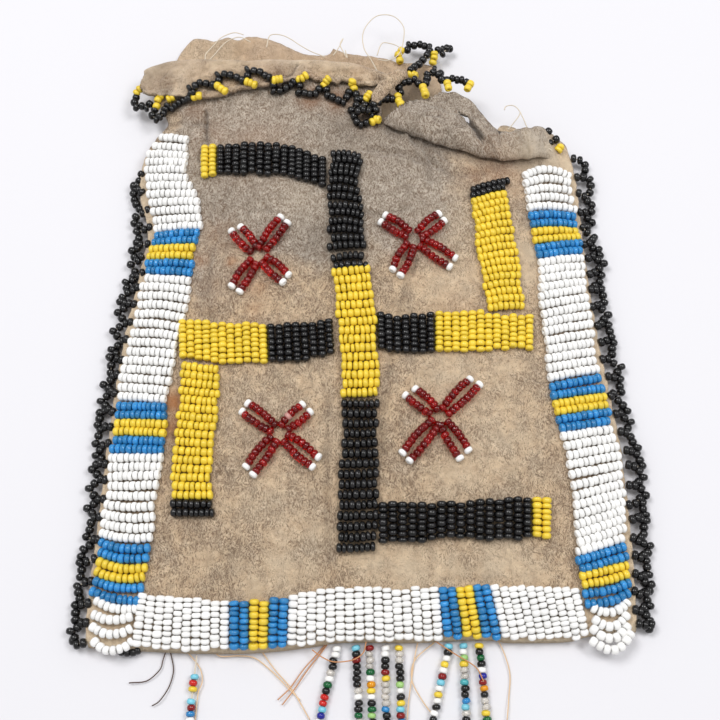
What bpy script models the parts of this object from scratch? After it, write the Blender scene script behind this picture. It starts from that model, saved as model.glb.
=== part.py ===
"""Beaded hide bag, lying on its back.

Two hide panels are sewn edge to edge into a flat pouch that is open at the top. The front is
worked in lane stitch: rows of seed beads sewn side by side, so each lane is a ribbed strip that
lies on the crown of the front panel. A netted edging runs down both sides, bead loops trim the
rim, the front rim is folded over as a cuff, and nine bead strings hang from the hem.

Frame: metres, +Z up out of the front, +Y from the hem to the mouth, +X to the right of the
front. The origin is in the middle of the back panel's underside.
"""
import math

import bmesh
import bpy
from mathutils import Vector

MM = 0.001

# Overall plan of the hide
HALF_WIDTH = 62.0 * MM
HALF_LENGTH = 80.0 * MM
HIDE_THICKNESS = 1.3 * MM
CLEARANCE = 0.3 * MM
CROWN = 9.0 * MM
MOUTH_LIFT = 2.0 * MM

# Beads
BEAD_DIAMETER = 2.15 * MM
BEAD_LENGTH = 1.35 * MM
STRAND_BEAD = 2.1 * MM
THREAD_DIAMETER = 0.7 * MM
HINGE_GAP = 0.15 * MM

# Faces that meet at more than this angle keep a sharp edge
SHARP_DEGREES = 50.0

# Edgings
SIDE_STEM = 2.4 * MM
SIDE_REACH = 4.6 * MM
LOOP_STEM = 3.6 * MM
LOOP_REACH = 5.8 * MM
EDGING_THICKNESS = 1.9 * MM
EDGING_RISE = 0.4 * MM
TABLE_GAP = 0.1 * MM
STEM_WIDTH = 1.5 * MM

# Edging net: its width and how far it reaches back over a stem, as shares of a bead's diameter,
# and the step along an edge that gives the edge's direction
NET_WIDTH_SHARE = 0.75
NET_OVERLAP_SHARE = 0.2
EDGE_STEP_SHARE = 0.002

# Where the back panel's upper face, the seam and the front panel's outer face lie
BACK_TOP = HIDE_THICKNESS
SEAM_LEVEL = BACK_TOP + CLEARANCE / 2
SEAM_TOP = BACK_TOP + CLEARANCE + HIDE_THICKNESS

# Places on the hide are shares of HALF_WIDTH across and HALF_LENGTH up.
# The sides of the pouch: up, left edge, right edge
SIDE_SHARES = (
    (-0.99, -1.00, 1.02), (-0.90, -1.015, 1.025), (-0.72, -1.005, 1.03), (-0.54, -0.995, 1.025),
    (-0.375, -0.985, 1.015), (-0.19, -0.97, 0.985), (0.0, -0.945, 0.955), (0.20, -0.905, 0.935),
    (0.34, -0.885, 0.925), (0.46, -0.925, 0.92), (0.59, -0.925, 0.905), (0.68, -0.885, 0.87),
    (0.73, -0.85, 0.86), (0.80, -0.875, 0.86), (0.90, -0.96, 0.86),
)

# The hem: across, up
HEM_SHARES = (
    (-1.0, -0.971), (-0.816, -0.98), (-0.595, -0.987), (-0.365, -0.985), (-0.17, -0.969), (-0.066, -0.9575),
    (0.203, -0.9575), (0.38, -0.951), (0.50, -0.951), (0.56, -0.957), (0.763, -0.955), (0.85, -0.94), (1.0, -0.929),
)

# The front panel's upper edge, from the folded part on the left to the loose flap on the right:
# share of the panel's width, height up
FRONT_RIM_SHARES = (
    (0.0, 0.895), (0.04, 0.92), (0.08, 0.94), (0.15, 0.935), (0.22, 0.925), (0.28, 0.92), (0.36, 0.915),
    (0.44, 0.913), (0.52, 0.895), (0.565, 0.87), (0.60, 0.72), (0.66, 0.78), (0.74, 0.80), (0.79, 0.73),
    (0.84, 0.655), (0.91, 0.68), (0.955, 0.695), (1.0, 0.66),
)
FRONT_ROW_SHARES = (
    0.0, 0.03, 0.07, 0.12, 0.18, 0.25, 0.33, 0.41, 0.48, 0.55, 0.62, 0.69, 0.755, 0.82, 0.87, 0.90, 0.93,
    0.965, 1.0,
)
SEAM_END_SHARE = 0.68
FOLD_COLUMN_COUNT = 10

# The roll that the loose flap makes across the front: its lower edge, and its span across
ROLL_SHARES = (
    (0.04, 0.70), (0.12, 0.646), (0.23, 0.60), (0.37, 0.569), (0.455, 0.555), (0.57, 0.53), (0.63, 0.551),
    (0.69, 0.57), (0.76, 0.5825), (0.85, 0.575),
)
ROLL_START_SHARE, ROLL_FULL_SHARE, ROLL_FADE_SHARE, ROLL_END_SHARE = 0.04, 0.20, 0.74, 0.88
ROLL_HEIGHT = 3.6 * MM
ROLL_RISE = 2.6 * MM
ROLL_CREST = 3.5 * MM
ROLL_FALL = 9.0 * MM

# The crown of the front panel: how steeply it falls to its sides and its hem, how far it sinks
# towards the mouth and from where, and where the seams' ends begin to lift
CROWN_SIDE_POWER = 2.5
CROWN_HEM_POWER = 5.0
SINK_SHARE = 0.2
SINK_START_SHARE = 0.7
LIFT_START_SHARE = 0.82

# The back panel's upper edge, from the right seam round to the left one
BACK_RIM_SHARES = (
    (0.70, 0.69), (0.57, 0.68), (0.42, 0.70), (0.30, 0.79), (0.22, 0.90), (0.16, 0.965), (0.06, 0.985),
    (-0.13, 1.02), (-0.24, 1.015), (-0.34, 1.045), (-0.46, 1.07), (-0.56, 1.06), (-0.71, 1.07), (-0.79, 1.04),
    (-0.80, 0.97), (-0.83, 0.87), (-0.83, 0.76),
)

# The cuff's free edge, folded down over the front
CUFF_EDGE_SHARES = (
    (-0.975, 0.85), (-0.915, 0.835), (-0.84, 0.82), (-0.68, 0.775), (-0.585, 0.775), (-0.44, 0.79),
    (-0.33, 0.82), (-0.21, 0.835), (-0.09, 0.82), (0.03, 0.81),
)
CUFF_ROW_SHARES = (0.0, 0.3, 0.65, 1.0)
FOLD_ROUND_SHARE = 0.4

# The line that the cuff turns about, just outside the fold: two points across and up
CUFF_HINGE_SHARES = ((-0.96, 0.95), (0.08, 0.92))

# Colours: red, green, blue, roughness
HIDE_COLOUR = (0.58, 0.46, 0.34, 0.95)
WHITE = (0.86, 0.86, 0.84, 0.30)
BLACK = (0.012, 0.012, 0.014, 0.20)
YELLOW = (0.74, 0.52, 0.03, 0.30)
BLUE = (0.02, 0.16, 0.45, 0.15)
RED = (0.28, 0.01, 0.01, 0.12)
SKY = (0.25, 0.60, 0.72, 0.20)
GREEN = (0.05, 0.25, 0.09, 0.20)

# A lane's section: share across, height at a row's crest, height in the valley between rows
LANE_SECTION_SHARES = ((0.0, 0.0, 0.0), (0.06, 1.0, 0.55), (0.94, 1.0, 0.55), (1.0, 0.0, 0.0))
FAN_SECTION_SHARES = (
    (0.0, 0.0, 0.0), (0.06, 1.0, 0.25), (0.27, 1.0, 0.25), (0.50, 1.0, 0.25), (0.73, 1.0, 0.25),
    (0.94, 1.0, 0.25), (1.0, 0.0, 0.0),
)
VALLEY_INSET_SHARE = 0.02

# The border bands: outer edge, inner edge, and the runs of rows from the start to the end.
# A stripe is six rows: blue, yellow, blue, two of each.
BORDER_SHARES = {
    "left_band": {
        "outer_shares": ((-0.865, 0.69), (-0.905, 0.56), (-0.88, 0.44), (-0.86, 0.35), (-0.885, 0.23),
                         (-0.925, -0.055), (-0.96, -0.40), (-0.98, -0.78), (-0.985, -0.835)),
        "inner_shares": ((-0.72, 0.675), (-0.727, 0.57), (-0.72, 0.475), (-0.665, 0.365), (-0.655, 0.31),
                         (-0.68, 0.175), (-0.692, 0.0), (-0.745, -0.20), (-0.752, -0.38), (-0.775, -0.645),
                         (-0.807, -0.823)),
        "runs": (("white_top", WHITE, 12), ("stripe_top", BLUE, 6), ("white_middle", WHITE, 14),
                 ("stripe_middle", BLUE, 6), ("white_low", WHITE, 9), ("stripe_low", BLUE, 6)),
    },
    "right_band": {
        "outer_shares": ((0.893, 0.555), (0.905, 0.345), (0.922, 0.185), (0.938, 0.035), (0.984, -0.255),
                         (1.0, -0.45), (1.008, -0.67), (1.0, -0.845)),
        "inner_shares": ((0.69, 0.53), (0.712, 0.37), (0.733, 0.21), (0.738, -0.025), (0.758, -0.25),
                         (0.796, -0.42), (0.816, -0.63), (0.826, -0.79), (0.86, -0.83)),
        "runs": (("white_top", WHITE, 5), ("stripe_top", BLUE, 6), ("white_middle", WHITE, 14),
                 ("stripe_middle", BLUE, 6), ("white_low", WHITE, 13), ("stripe_low", BLUE, 6)),
    },
    "hem_band": {
        "outer_shares": ((-0.81, -0.974), (-0.595, -0.981), (-0.365, -0.979), (-0.17, -0.963), (-0.066, -0.952),
                         (0.203, -0.952), (0.38, -0.945), (0.50, -0.945), (0.56, -0.95), (0.763, -0.948),
                         (0.848, -0.934)),
        "inner_shares": ((-0.82, -0.829), (-0.485, -0.838), (-0.26, -0.846), (0.27, -0.819), (0.50, -0.813),
                         (0.843, -0.809)),
        "runs": (("white_left", WHITE, 10), ("stripe_left", BLUE, 6), ("white_middle", WHITE, 16),
                 ("stripe_right", BLUE, 6), ("white_right", WHITE, 11)),
    },
}

# The curved corner rows that close the border: outer edge, inner edge
CORNER_ROW_COUNT = 4
CORNER_SAG = 1.4 * MM
CORNER_SHARES = {
    "corner_left": (((-0.985, -0.845), (-0.992, -0.90), (-0.985, -0.94)),
                    ((-0.832, -0.85), (-0.836, -0.895), (-0.834, -0.93))),
    "corner_right": (((1.0, -0.855), (1.003, -0.875), (0.992, -0.90)),
                     ((0.862, -0.85), (0.862, -0.88), (0.862, -0.905))),
}

# The cross with bent arms: colour, rows, first edge, second edge
FIGURE_SHARES = {
    "upright_top_black": (BLACK, 13, ((-0.132, 0.565), (-0.135, 0.39), (-0.137, 0.23), (-0.113, 0.16)),
                          ((0.013, 0.555), (0.013, 0.39), (0.032, 0.23), (0.034, 0.163))),
    "upright_yellow": (YELLOW, 15, ((-0.111, 0.156), (-0.098, 0.038), (-0.074, -0.11), (-0.071, -0.26)),
                       ((0.034, 0.158), (0.056, 0.038), (0.068, -0.11), (0.073, -0.26))),
    "upright_bottom_black": (BLACK, 15, ((-0.071, -0.264), (-0.063, -0.36), (-0.079, -0.49), (-0.089, -0.715)),
                             ((0.073, -0.264), (0.068, -0.36), (0.068, -0.49), (0.063, -0.71))),
    "top_arm_tip_yellow": (YELLOW, 2, ((-0.67, 0.612), (-0.602, 0.607)), ((-0.662, 0.497), (-0.595, 0.495))),
    "top_arm_black": (BLACK, 14, ((-0.598, 0.61), (-0.324, 0.596), (-0.24, 0.57), (-0.144, 0.546)),
                      ((-0.59, 0.498), (-0.32, 0.482), (-0.237, 0.46), (-0.144, 0.441))),
    "crossbar_left_yellow": (YELLOW, 11, ((-0.69, -0.008), (-0.66, 0.0), (-0.361, -0.03)),
                             ((-0.69, -0.118), (-0.537, -0.144), (-0.357, -0.15))),
    "crossbar_left_black": (BLACK, 9, ((-0.358, -0.027), (-0.235, -0.025), (-0.111, -0.012)),
                            ((-0.354, -0.15), (-0.232, -0.145), (-0.146, -0.128), (-0.10, -0.126))),
    "crossbar_right_black": (BLACK, 8, ((0.075, 0.013), (0.137, 0.0), (0.326, 0.011)),
                             ((0.082, -0.103), (0.127, -0.117), (0.323, -0.115))),
    "crossbar_right_yellow": (YELLOW, 12, ((0.33, 0.012), (0.45, 0.013), (0.515, 0.008), (0.684, 0.014)),
                              ((0.327, -0.113), (0.68, -0.094))),
    "right_arm_yellow": (YELLOW, 16, ((0.512, 0.022), (0.477, 0.187), (0.458, 0.382)),
                         ((0.655, 0.032), (0.639, 0.197), (0.602, 0.43))),
    "right_arm_tip_black": (BLACK, 2, ((0.46, 0.388), (0.46, 0.447)), ((0.611, 0.438), (0.62, 0.492))),
    "left_arm_yellow": (YELLOW, 16, ((-0.70, -0.13), (-0.698, -0.255), (-0.713, -0.455), (-0.713, -0.546)),
                        ((-0.545, -0.153), (-0.545, -0.261), (-0.561, -0.458), (-0.56, -0.55))),
    "left_arm_tip_black": (BLACK, 2, ((-0.717, -0.552), (-0.714, -0.607)), ((-0.556, -0.556), (-0.55, -0.61))),
    "bottom_arm_black": (BLACK, 16, ((0.074, -0.571), (0.30, -0.571), (0.487, -0.562), (0.66, -0.551)),
                         ((0.073, -0.69), (0.20, -0.687), (0.353, -0.672), (0.484, -0.68), (0.653, -0.676))),
    "bottom_arm_tip_yellow": (YELLOW, 2, ((0.665, -0.551), (0.722, -0.547)), ((0.658, -0.674), (0.714, -0.668))),
}

# The four small crosses: the middle, then the tips of the arms in order round it
CROSS_SHARES = {
    "cross_upper_left": ((-0.41, 0.209), ((-0.505, 0.304), (-0.308, 0.324), (-0.297, 0.125), (-0.495, 0.095))),
    "cross_upper_right": ((0.218, 0.258), ((0.094, 0.325), (0.331, 0.331), (0.371, 0.179), (0.145, 0.143))),
    "cross_lower_right": ((0.305, -0.319), ((0.194, -0.243), (0.444, -0.206), (0.394, -0.431), (0.174, -0.439))),
    "cross_lower_left": ((-0.308, -0.366), ((-0.442, -0.288), (-0.205, -0.293), (-0.168, -0.456), (-0.416, -0.479))),
}
# An arm's section: share across and height share, two strings side by side
ARM_SECTION_SHARES = ((0.25, 1.0), (0.5, 0.45), (0.75, 1.0))
HUB_SHARE = 1.5

# Netted edging down the sides: how high it starts and ends
SIDE_EDGING_SHARES = {"edging_left": (0.585, -0.955), "edging_right": (0.60, -0.92)}
LEFT_PICOT_COUNT = 28
RIGHT_PICOT_COUNT = 27

# Bead loops: the edge that they trim, loops, and the side of the edge that they stand on
CUFF_LOOP_COUNT = 10
FLAP_LOOP_COUNT = 4
FLAP_COLUMN_INDEX = 10, 14
BACK_LOOP_COUNT = 3
BACK_LOOP_INDEX = 3, 7
STEP_COUNT = 3

# The strings at the hem: colour, root across, drift across at the tip as a share of its length, beads
STRAND_SHARES = (
    (SKY, -0.603, -0.05, 21), (WHITE, -0.085, -0.17, 23), (BLACK, -0.018, 0.04, 25), (RED, 0.034, 0.03, 24),
    (WHITE, 0.092, 0.01, 23), (YELLOW, 0.145, 0.01, 25), (GREEN, 0.329, -0.17, 24), (BLUE, 0.382, 0.01, 25),
    (BLACK, 0.441, 0.05, 23),
)
SIDE_COUNT = 5


def clear_scene():
    for obj in list(bpy.data.objects):
        bpy.data.objects.remove(obj, do_unlink=True)


def material(name, colour):
    """A matte or glossy finish, from red, green, blue and roughness."""
    finish = bpy.data.materials.get(name) or bpy.data.materials.new(name)
    finish.use_nodes = True
    shader = finish.node_tree.nodes["Principled BSDF"]
    shader.inputs["Base Color"].default_value = (*colour[:3], 1.0)
    shader.inputs["Roughness"].default_value = colour[3]
    shader.inputs["Metallic"].default_value = 0.0
    finish.diffuse_color = (*colour[:3], 1.0)
    return finish


def finish_object(bm, name, colour, origin=None, smooth=True):
    """Turns a bmesh into a named object, with its origin moved to origin."""
    bmesh.ops.recalc_face_normals(bm, faces=bm.faces)
    if origin:
        bmesh.ops.translate(bm, verts=bm.verts, vec=-Vector(origin))
    mesh = bpy.data.meshes.new(name)
    bm.to_mesh(mesh)
    bm.free()
    if smooth:
        mesh.shade_smooth()
        mesh.set_sharp_from_angle(angle=math.radians(SHARP_DEGREES))
    mesh.materials.append(material(name, colour))
    obj = bpy.data.objects.new(name, mesh)
    bpy.context.collection.objects.link(obj)
    if origin:
        obj.location = origin
    return obj


def hang_on_pivot(obj, pivot_name):
    """Gives a moving piece an empty on its joint's axis, as its parent."""
    pivot = bpy.data.objects.new(pivot_name, None)
    pivot.empty_display_size = BEAD_DIAMETER
    pivot.location = obj.location
    bpy.context.collection.objects.link(pivot)
    obj.location = (0, 0, 0)
    obj.parent = pivot


def between(table, at, column=1):
    """Reads a column of a table of rows at a value of its first column."""
    if at <= table[0][0]:
        return table[0][column]
    for low, high in zip(table, table[1:]):
        if at <= high[0]:
            share = (at - low[0]) / (high[0] - low[0])
            return low[column] + share * (high[column] - low[column])
    return table[-1][column]


def ease(share):
    """Goes smoothly from 0 to 1."""
    share = min(1, max(0, share))
    return share * share * (3 - 2 * share)


def place(shares):
    """Share coordinates to a point in plan."""
    return Vector((shares[0] * HALF_WIDTH, shares[1] * HALF_LENGTH))


def roll_height(x, y):
    """How far the flap's roll stands up: a steep side towards the hem and a long one to the rim."""
    across, above = x / HALF_WIDTH, y - between(ROLL_SHARES, x / HALF_WIDTH) * HALF_LENGTH
    start = ease((across - ROLL_START_SHARE) / (ROLL_FULL_SHARE - ROLL_START_SHARE))
    end = ease((ROLL_END_SHARE - across) / (ROLL_END_SHARE - ROLL_FADE_SHARE))
    return ROLL_HEIGHT * start * end * ease(above / ROLL_RISE) * (1 - ease((above - ROLL_CREST) / ROLL_FALL))


def front_height(x, y):
    """Height of the front panel's outer face: low at the seams and the hem, crowned between."""
    across, up = x / HALF_WIDTH, y / HALF_LENGTH
    left, right = between(SIDE_SHARES, up, 1), between(SIDE_SHARES, up, 2)
    side = min(1, abs(2 * (across - left) / (right - left) - 1))
    hem = between(HEM_SHARES, across)
    rise = min(1, max(0, (up - hem) / (FRONT_RIM_SHARES[0][1] - hem)))
    sink = SINK_SHARE * ease((rise - SINK_START_SHARE) / (1 - SINK_START_SHARE))
    slope = side ** CROWN_SIDE_POWER
    crown = (1 - slope) * (1 - (1 - rise) ** CROWN_HEM_POWER) * (1 - sink)
    lift = slope * ease((rise - LIFT_START_SHARE) / (1 - LIFT_START_SHARE))
    return SEAM_TOP + CROWN * crown + MOUTH_LIFT * lift + roll_height(x, y)


def front_point(width_share, row_share):
    """A point of the front panel in plan: across its own width, and from the hem to the rim."""
    hem_across = SIDE_SHARES[0][1] + width_share * (SIDE_SHARES[0][2] - SIDE_SHARES[0][1])
    hem, rim = between(HEM_SHARES, hem_across), between(FRONT_RIM_SHARES, width_share)
    up = hem + row_share * (rim - hem)
    left, right = between(SIDE_SHARES, up, 1), between(SIDE_SHARES, up, 2)
    return place((left + width_share * (right - left), up))


def sheet(name, colour, upper, lower, origin=None):
    """A closed sheet between two grids of points of the same size."""
    bm = bmesh.new()
    top = [[bm.verts.new(point) for point in row] for row in upper]
    bottom = [[bm.verts.new(point) for point in row] for row in lower]
    rows, columns = len(top), len(top[0])
    for i in range(rows - 1):
        for j in range(columns - 1):
            bm.faces.new((top[i][j], top[i][j + 1], top[i + 1][j + 1], top[i + 1][j]))
            bm.faces.new((bottom[i][j], bottom[i + 1][j], bottom[i + 1][j + 1], bottom[i][j + 1]))
    ring = [(0, j) for j in range(columns)] + [(i, columns - 1) for i in range(1, rows)]
    ring += [(rows - 1, j) for j in range(columns - 2, -1, -1)] + [(i, 0) for i in range(rows - 2, 0, -1)]
    for (i, j), (k, m) in zip(ring, ring[1:] + ring[:1]):
        bm.faces.new((top[i][j], bottom[i][j], bottom[k][m], top[k][m]))
    return finish_object(bm, name, colour, origin)


def side_path(width_share):
    """The pouch's side in plan, from the hem to the top of its seam."""
    points = [front_point(width_share, row_share) for row_share in FRONT_ROW_SHARES]
    return [point for point in points if point.y <= SEAM_END_SHARE * HALF_LENGTH]


def back_panel():
    """The flat hide that the bag lies on: hem, right side, rim and left side in one outline."""
    hem = [front_point(column[0], 0) for column in FRONT_RIM_SHARES[1:-1]]
    rim = [place(pair) for pair in BACK_RIM_SHARES]
    left = reversed(side_path(0.0))
    outline = [*hem, *side_path(1.0), *rim, *left]
    bm = bmesh.new()
    bm.faces.new([bm.verts.new((point.x, point.y, 0)) for point in outline])
    grown = bmesh.ops.extrude_face_region(bm, geom=bm.faces[:])
    risen = [item for item in grown["geom"] if isinstance(item, bmesh.types.BMVert)]
    bmesh.ops.translate(bm, verts=risen, vec=(0, 0, HIDE_THICKNESS))
    return finish_object(bm, "back_panel", HIDE_COLOUR, smooth=False)


def front_panel():
    """The crowned hide of the front, from the hem to the fold and the loose flap."""
    upper, lower = [], []
    for row_share in FRONT_ROW_SHARES:
        plan = [front_point(column[0], row_share) for column in FRONT_RIM_SHARES]
        heights = [front_height(point.x, point.y) for point in plan]
        upper.append([(point.x, point.y, z) for point, z in zip(plan, heights)])
        lower.append([(point.x, point.y, z - HIDE_THICKNESS) for point, z in zip(plan, heights)])
    return sheet("front_panel", HIDE_COLOUR, upper, lower)


def cuff_hinge():
    """Two points on the line that the cuff turns about, under the fold's ends."""
    ends = []
    for shares in CUFF_HINGE_SHARES:
        point = place(shares)
        fold = between(FRONT_RIM_SHARES, 0.0 if shares[0] < 0 else FRONT_RIM_SHARES[FOLD_COLUMN_COUNT - 1][0])
        ends.append(Vector((point.x, point.y, front_height(point.x, fold * HALF_LENGTH))))
    return ends


def cuff_plan():
    """The cuff in plan: pairs of a point on the fold and the point below it on the free edge."""
    pairs = []
    for column in FRONT_RIM_SHARES[:FOLD_COLUMN_COUNT]:
        fold = front_point(column[0], 1.0)
        pairs.append((fold, Vector((fold.x, between(CUFF_EDGE_SHARES, fold.x / HALF_WIDTH) * HALF_LENGTH))))
    return pairs


def rim_cuff():
    """The part of the front rim that is folded down over the front."""
    upper, lower = [], []
    for share in CUFF_ROW_SHARES:
        plan = [fold.lerp(edge, share) for fold, edge in cuff_plan()]
        full = FOLD_ROUND_SHARE if share == 0 else 1.0
        low = [front_height(point.x, point.y) + CLEARANCE for point in plan]
        upper.append([(point.x, point.y, z + HIDE_THICKNESS * full) for point, z in zip(plan, low)])
        lower.append([(point.x, point.y, z) for point, z in zip(plan, low)])
    cuff = sheet("rim_cuff", HIDE_COLOUR, upper, lower, origin=cuff_hinge()[0])
    hang_on_pivot(cuff, "rim_cuff_pivot")
    return cuff


def along(points, share):
    """The point at a share of a polyline's length."""
    lengths = [(after - before).length for before, after in zip(points, points[1:])]
    rest = share * sum(lengths)
    for before, after, length in zip(points, points[1:], lengths):
        if rest <= length:
            return before.lerp(after, rest / length)
        rest -= length
    return points[-1].copy()


def lane_strip(name, colour, rows, edge_a, edge_b, first=0.0, last=1.0, sag=0.0):
    """A strip of bead rows between two edges: a ridge for each row and a valley between rows.

    The strip runs from share first to share last of its edges, less half a clearance at each end.
    With a sag, each row hangs in a curve between its ends.
    """
    edge_a, edge_b = [place(pair) for pair in edge_a], [place(pair) for pair in edge_b]
    length = sum((after - before).length for before, after in zip(edge_a, edge_a[1:]))
    trim = CLEARANCE / 2 / length
    start, stop = first + trim, last - trim
    section = FAN_SECTION_SHARES if sag else LANE_SECTION_SHARES
    bm = bmesh.new()
    tops, bottoms = [], []
    for step in range(2 * rows + 1):
        crest = step % 2
        at = start + (stop - start) * step / (2 * rows)
        end_a, end_b = along(edge_a, at), along(edge_b, at)
        top, bottom = [], []
        for across, crest_height, valley_height in section:
            inset = across if crest else across + VALLEY_INSET_SHARE * (1 - 2 * across)
            point = end_a.lerp(end_b, inset)
            point.y -= 4 * sag * across * (1 - across)
            base = front_height(point.x, point.y) + CLEARANCE
            height = (crest_height if crest else valley_height) * BEAD_DIAMETER
            top.append(bm.verts.new((point.x, point.y, base + height)))
            if across in (0, 1):
                bottom.append(top[-1])
            elif sag:
                bottom.append(bm.verts.new((point.x, point.y, base)))
        tops.append(top)
        bottoms.append(bottom)
    for rows_of_points in (tops, bottoms):
        for before, after in zip(rows_of_points, rows_of_points[1:]):
            for j in range(len(before) - 1):
                bm.faces.new((before[j], before[j + 1], after[j + 1], after[j]))
    for top, bottom in ((tops[0], bottoms[0]), (tops[-1], bottoms[-1])):
        bm.faces.new((*top, *reversed(bottom[1:-1])))
    return finish_object(bm, name, colour)


def border_bands():
    for band, spec in BORDER_SHARES.items():
        total, done = sum(run[2] for run in spec["runs"]), 0
        for run, colour, rows in spec["runs"]:
            lane_strip(f"{band}_{run}", colour, rows, spec["outer_shares"], spec["inner_shares"],
                       done / total, (done + rows) / total)
            done += rows
    for name, (edge_a, edge_b) in CORNER_SHARES.items():
        lane_strip(name, WHITE, CORNER_ROW_COUNT, edge_a, edge_b, sag=CORNER_SAG)


def figure():
    for name, (colour, rows, edge_a, edge_b) in FIGURE_SHARES.items():
        lane_strip(name, colour, rows, edge_a, edge_b)


def small_cross(name, middle_shares, tip_shares):
    """Four arms of two bead strings each, joined at a hub whose corners lie between the arms."""
    middle = place(middle_shares)
    tips = [place(shares) for shares in tip_shares]
    ways = [(tip - middle).normalized() for tip in tips]
    corners = []
    for way, following in zip(ways, ways[1:] + ways[:1]):
        corners.append(middle + (way + following).normalized() * BEAD_DIAMETER * HUB_SHARE)
    bm = bmesh.new()

    def vertex(point, height_share):
        base = front_height(point.x, point.y) + CLEARANCE
        return bm.verts.new((point.x, point.y, base + height_share * BEAD_DIAMETER))

    corner_verts = [vertex(corner, 0) for corner in corners]
    centre = vertex(middle, ARM_SECTION_SHARES[1][1])
    ring = []
    for k, (tip, way) in enumerate(zip(tips, ways)):
        side = Vector((way.y, -way.x)) * BEAD_DIAMETER
        before, after = corners[k - 1], corners[k]
        root = [vertex(before.lerp(after, share), height) for share, height in ARM_SECTION_SHARES]
        section = [corner_verts[k - 1], *root, corner_verts[k]]
        ring += section[:-1]
        for reach in (0.5, 1.0):
            low_a = before.lerp(tip - side, reach)
            low_b = after.lerp(tip + side, reach)
            crest = [vertex(low_a.lerp(low_b, share), height) for share, height in ARM_SECTION_SHARES]
            following = [vertex(low_a, 0), *crest, vertex(low_b, 0)]
            for j in range(len(section) - 1):
                bm.faces.new((section[j], section[j + 1], following[j + 1], following[j]))
            bm.faces.new((section[0], following[0], following[-1], section[-1]))
            section = following
        bm.faces.new(section)
    for before, after in zip(ring, ring[1:] + ring[:1]):
        bm.faces.new((before, after, centre))
    bm.faces.new(corner_verts)
    return finish_object(bm, name, RED)


def edging(name, colour, edge, picots, outward, stem, reach, steps, level, origin=None):
    """A net of beads along an edge: stems that stand out from it, joined by a running chain.

    The chain swings from the stems' ends out to its full reach between them. It is drawn flat,
    thickened, and lifted to level(x, y), the height of its middle.
    """
    def offset_point(share, offset):
        before = along(edge, max(0, share - EDGE_STEP_SHARE))
        after = along(edge, min(1, share + EDGE_STEP_SHARE))
        way = (after - before).normalized()
        return along(edge, share) + Vector((-way.y, way.x)) * outward * offset

    length = sum((after - before).length for before, after in zip(edge, edge[1:]))
    half_stem = STEM_WIDTH / 2 / length
    bm = bmesh.new()

    def vertex(share, offset):
        point = offset_point(share, offset)
        return bm.verts.new((point.x, point.y, level(point.x, point.y) + EDGING_THICKNESS / 2))

    previous = None
    for k in range(picots):
        middle = (k + 0.5) / picots
        stations = [(middle - half_stem, 0.0), (middle + half_stem, 0.0)]
        gap = 1 / picots - 2 * half_stem
        if k < picots - 1:
            for step in range(1, steps + 1):
                part = step / (steps + 1)
                stations.append((middle + half_stem + gap * part, math.sin(math.pi * part)))
        chain = []
        for share, swing in stations:
            overlap = 0 if swing else NET_OVERLAP_SHARE * BEAD_DIAMETER
            inner = stem + (reach - stem - BEAD_DIAMETER) * swing - overlap
            width = NET_WIDTH_SHARE * BEAD_DIAMETER
            outer = stem + width + (reach - stem - width) * swing
            chain.append((vertex(share, inner), vertex(share, outer)))
        roots = [vertex(share, CLEARANCE) for share, _ in stations[:2]]
        bm.faces.new((roots[0], roots[1], chain[1][0], chain[0][0]))
        run = ([previous] if previous else []) + chain
        for before, after in zip(run, run[1:]):
            bm.faces.new((before[0], before[1], after[1], after[0]))
        previous = chain[-1]
    grown = bmesh.ops.extrude_face_region(bm, geom=bm.faces[:])
    sunk = [item for item in grown["geom"] if isinstance(item, bmesh.types.BMVert)]
    bmesh.ops.translate(bm, verts=sunk, vec=(0, 0, -EDGING_THICKNESS))
    return finish_object(bm, name, colour, origin, smooth=False)


def side_edgings():
    for name, (start, end) in SIDE_EDGING_SHARES.items():
        is_left = name.endswith("left")
        width_share, outward, picots = (0.0, 1, LEFT_PICOT_COUNT) if is_left else (1.0, -1, RIGHT_PICOT_COUNT)
        seam = side_path(width_share)
        sewn = [point for point in seam if end * HALF_LENGTH < point.y < start * HALF_LENGTH]
        edging(name, BLACK, sewn, picots, outward, SIDE_STEM, SIDE_REACH, 1, lambda x, y: SEAM_LEVEL)


def rim_edgings():
    """Loops on the cuff's free edge, on the flap beside it and on the back panel's rim."""
    def over_front(x, y):
        return front_height(x, y) + CLEARANCE + EDGING_RISE + EDGING_THICKNESS / 2

    def beside_front(x, y):
        return front_height(x, y) - HIDE_THICKNESS / 2

    cuff_path = [edge for _, edge in cuff_plan()]
    cuff = edging("cuff_edging", BLACK, cuff_path, CUFF_LOOP_COUNT, -1, LOOP_STEM, LOOP_REACH, STEP_COUNT,
                  over_front, origin=cuff_hinge()[0])
    hang_on_pivot(cuff, "cuff_edging_pivot")
    flap_path = [front_point(column[0], 1) for column in FRONT_RIM_SHARES[slice(*FLAP_COLUMN_INDEX)]]
    edging("flap_edging", BLACK, flap_path, FLAP_LOOP_COUNT, 1, LOOP_STEM, LOOP_REACH, STEP_COUNT, beside_front)
    back_path = [place(pair) for pair in BACK_RIM_SHARES[slice(*BACK_LOOP_INDEX)]]
    edging("back_rim_edging", BLACK, back_path, BACK_LOOP_COUNT, -1, LOOP_STEM, LOOP_REACH, STEP_COUNT,
           lambda x, y: EDGING_THICKNESS / 2 + TABLE_GAP)


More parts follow.
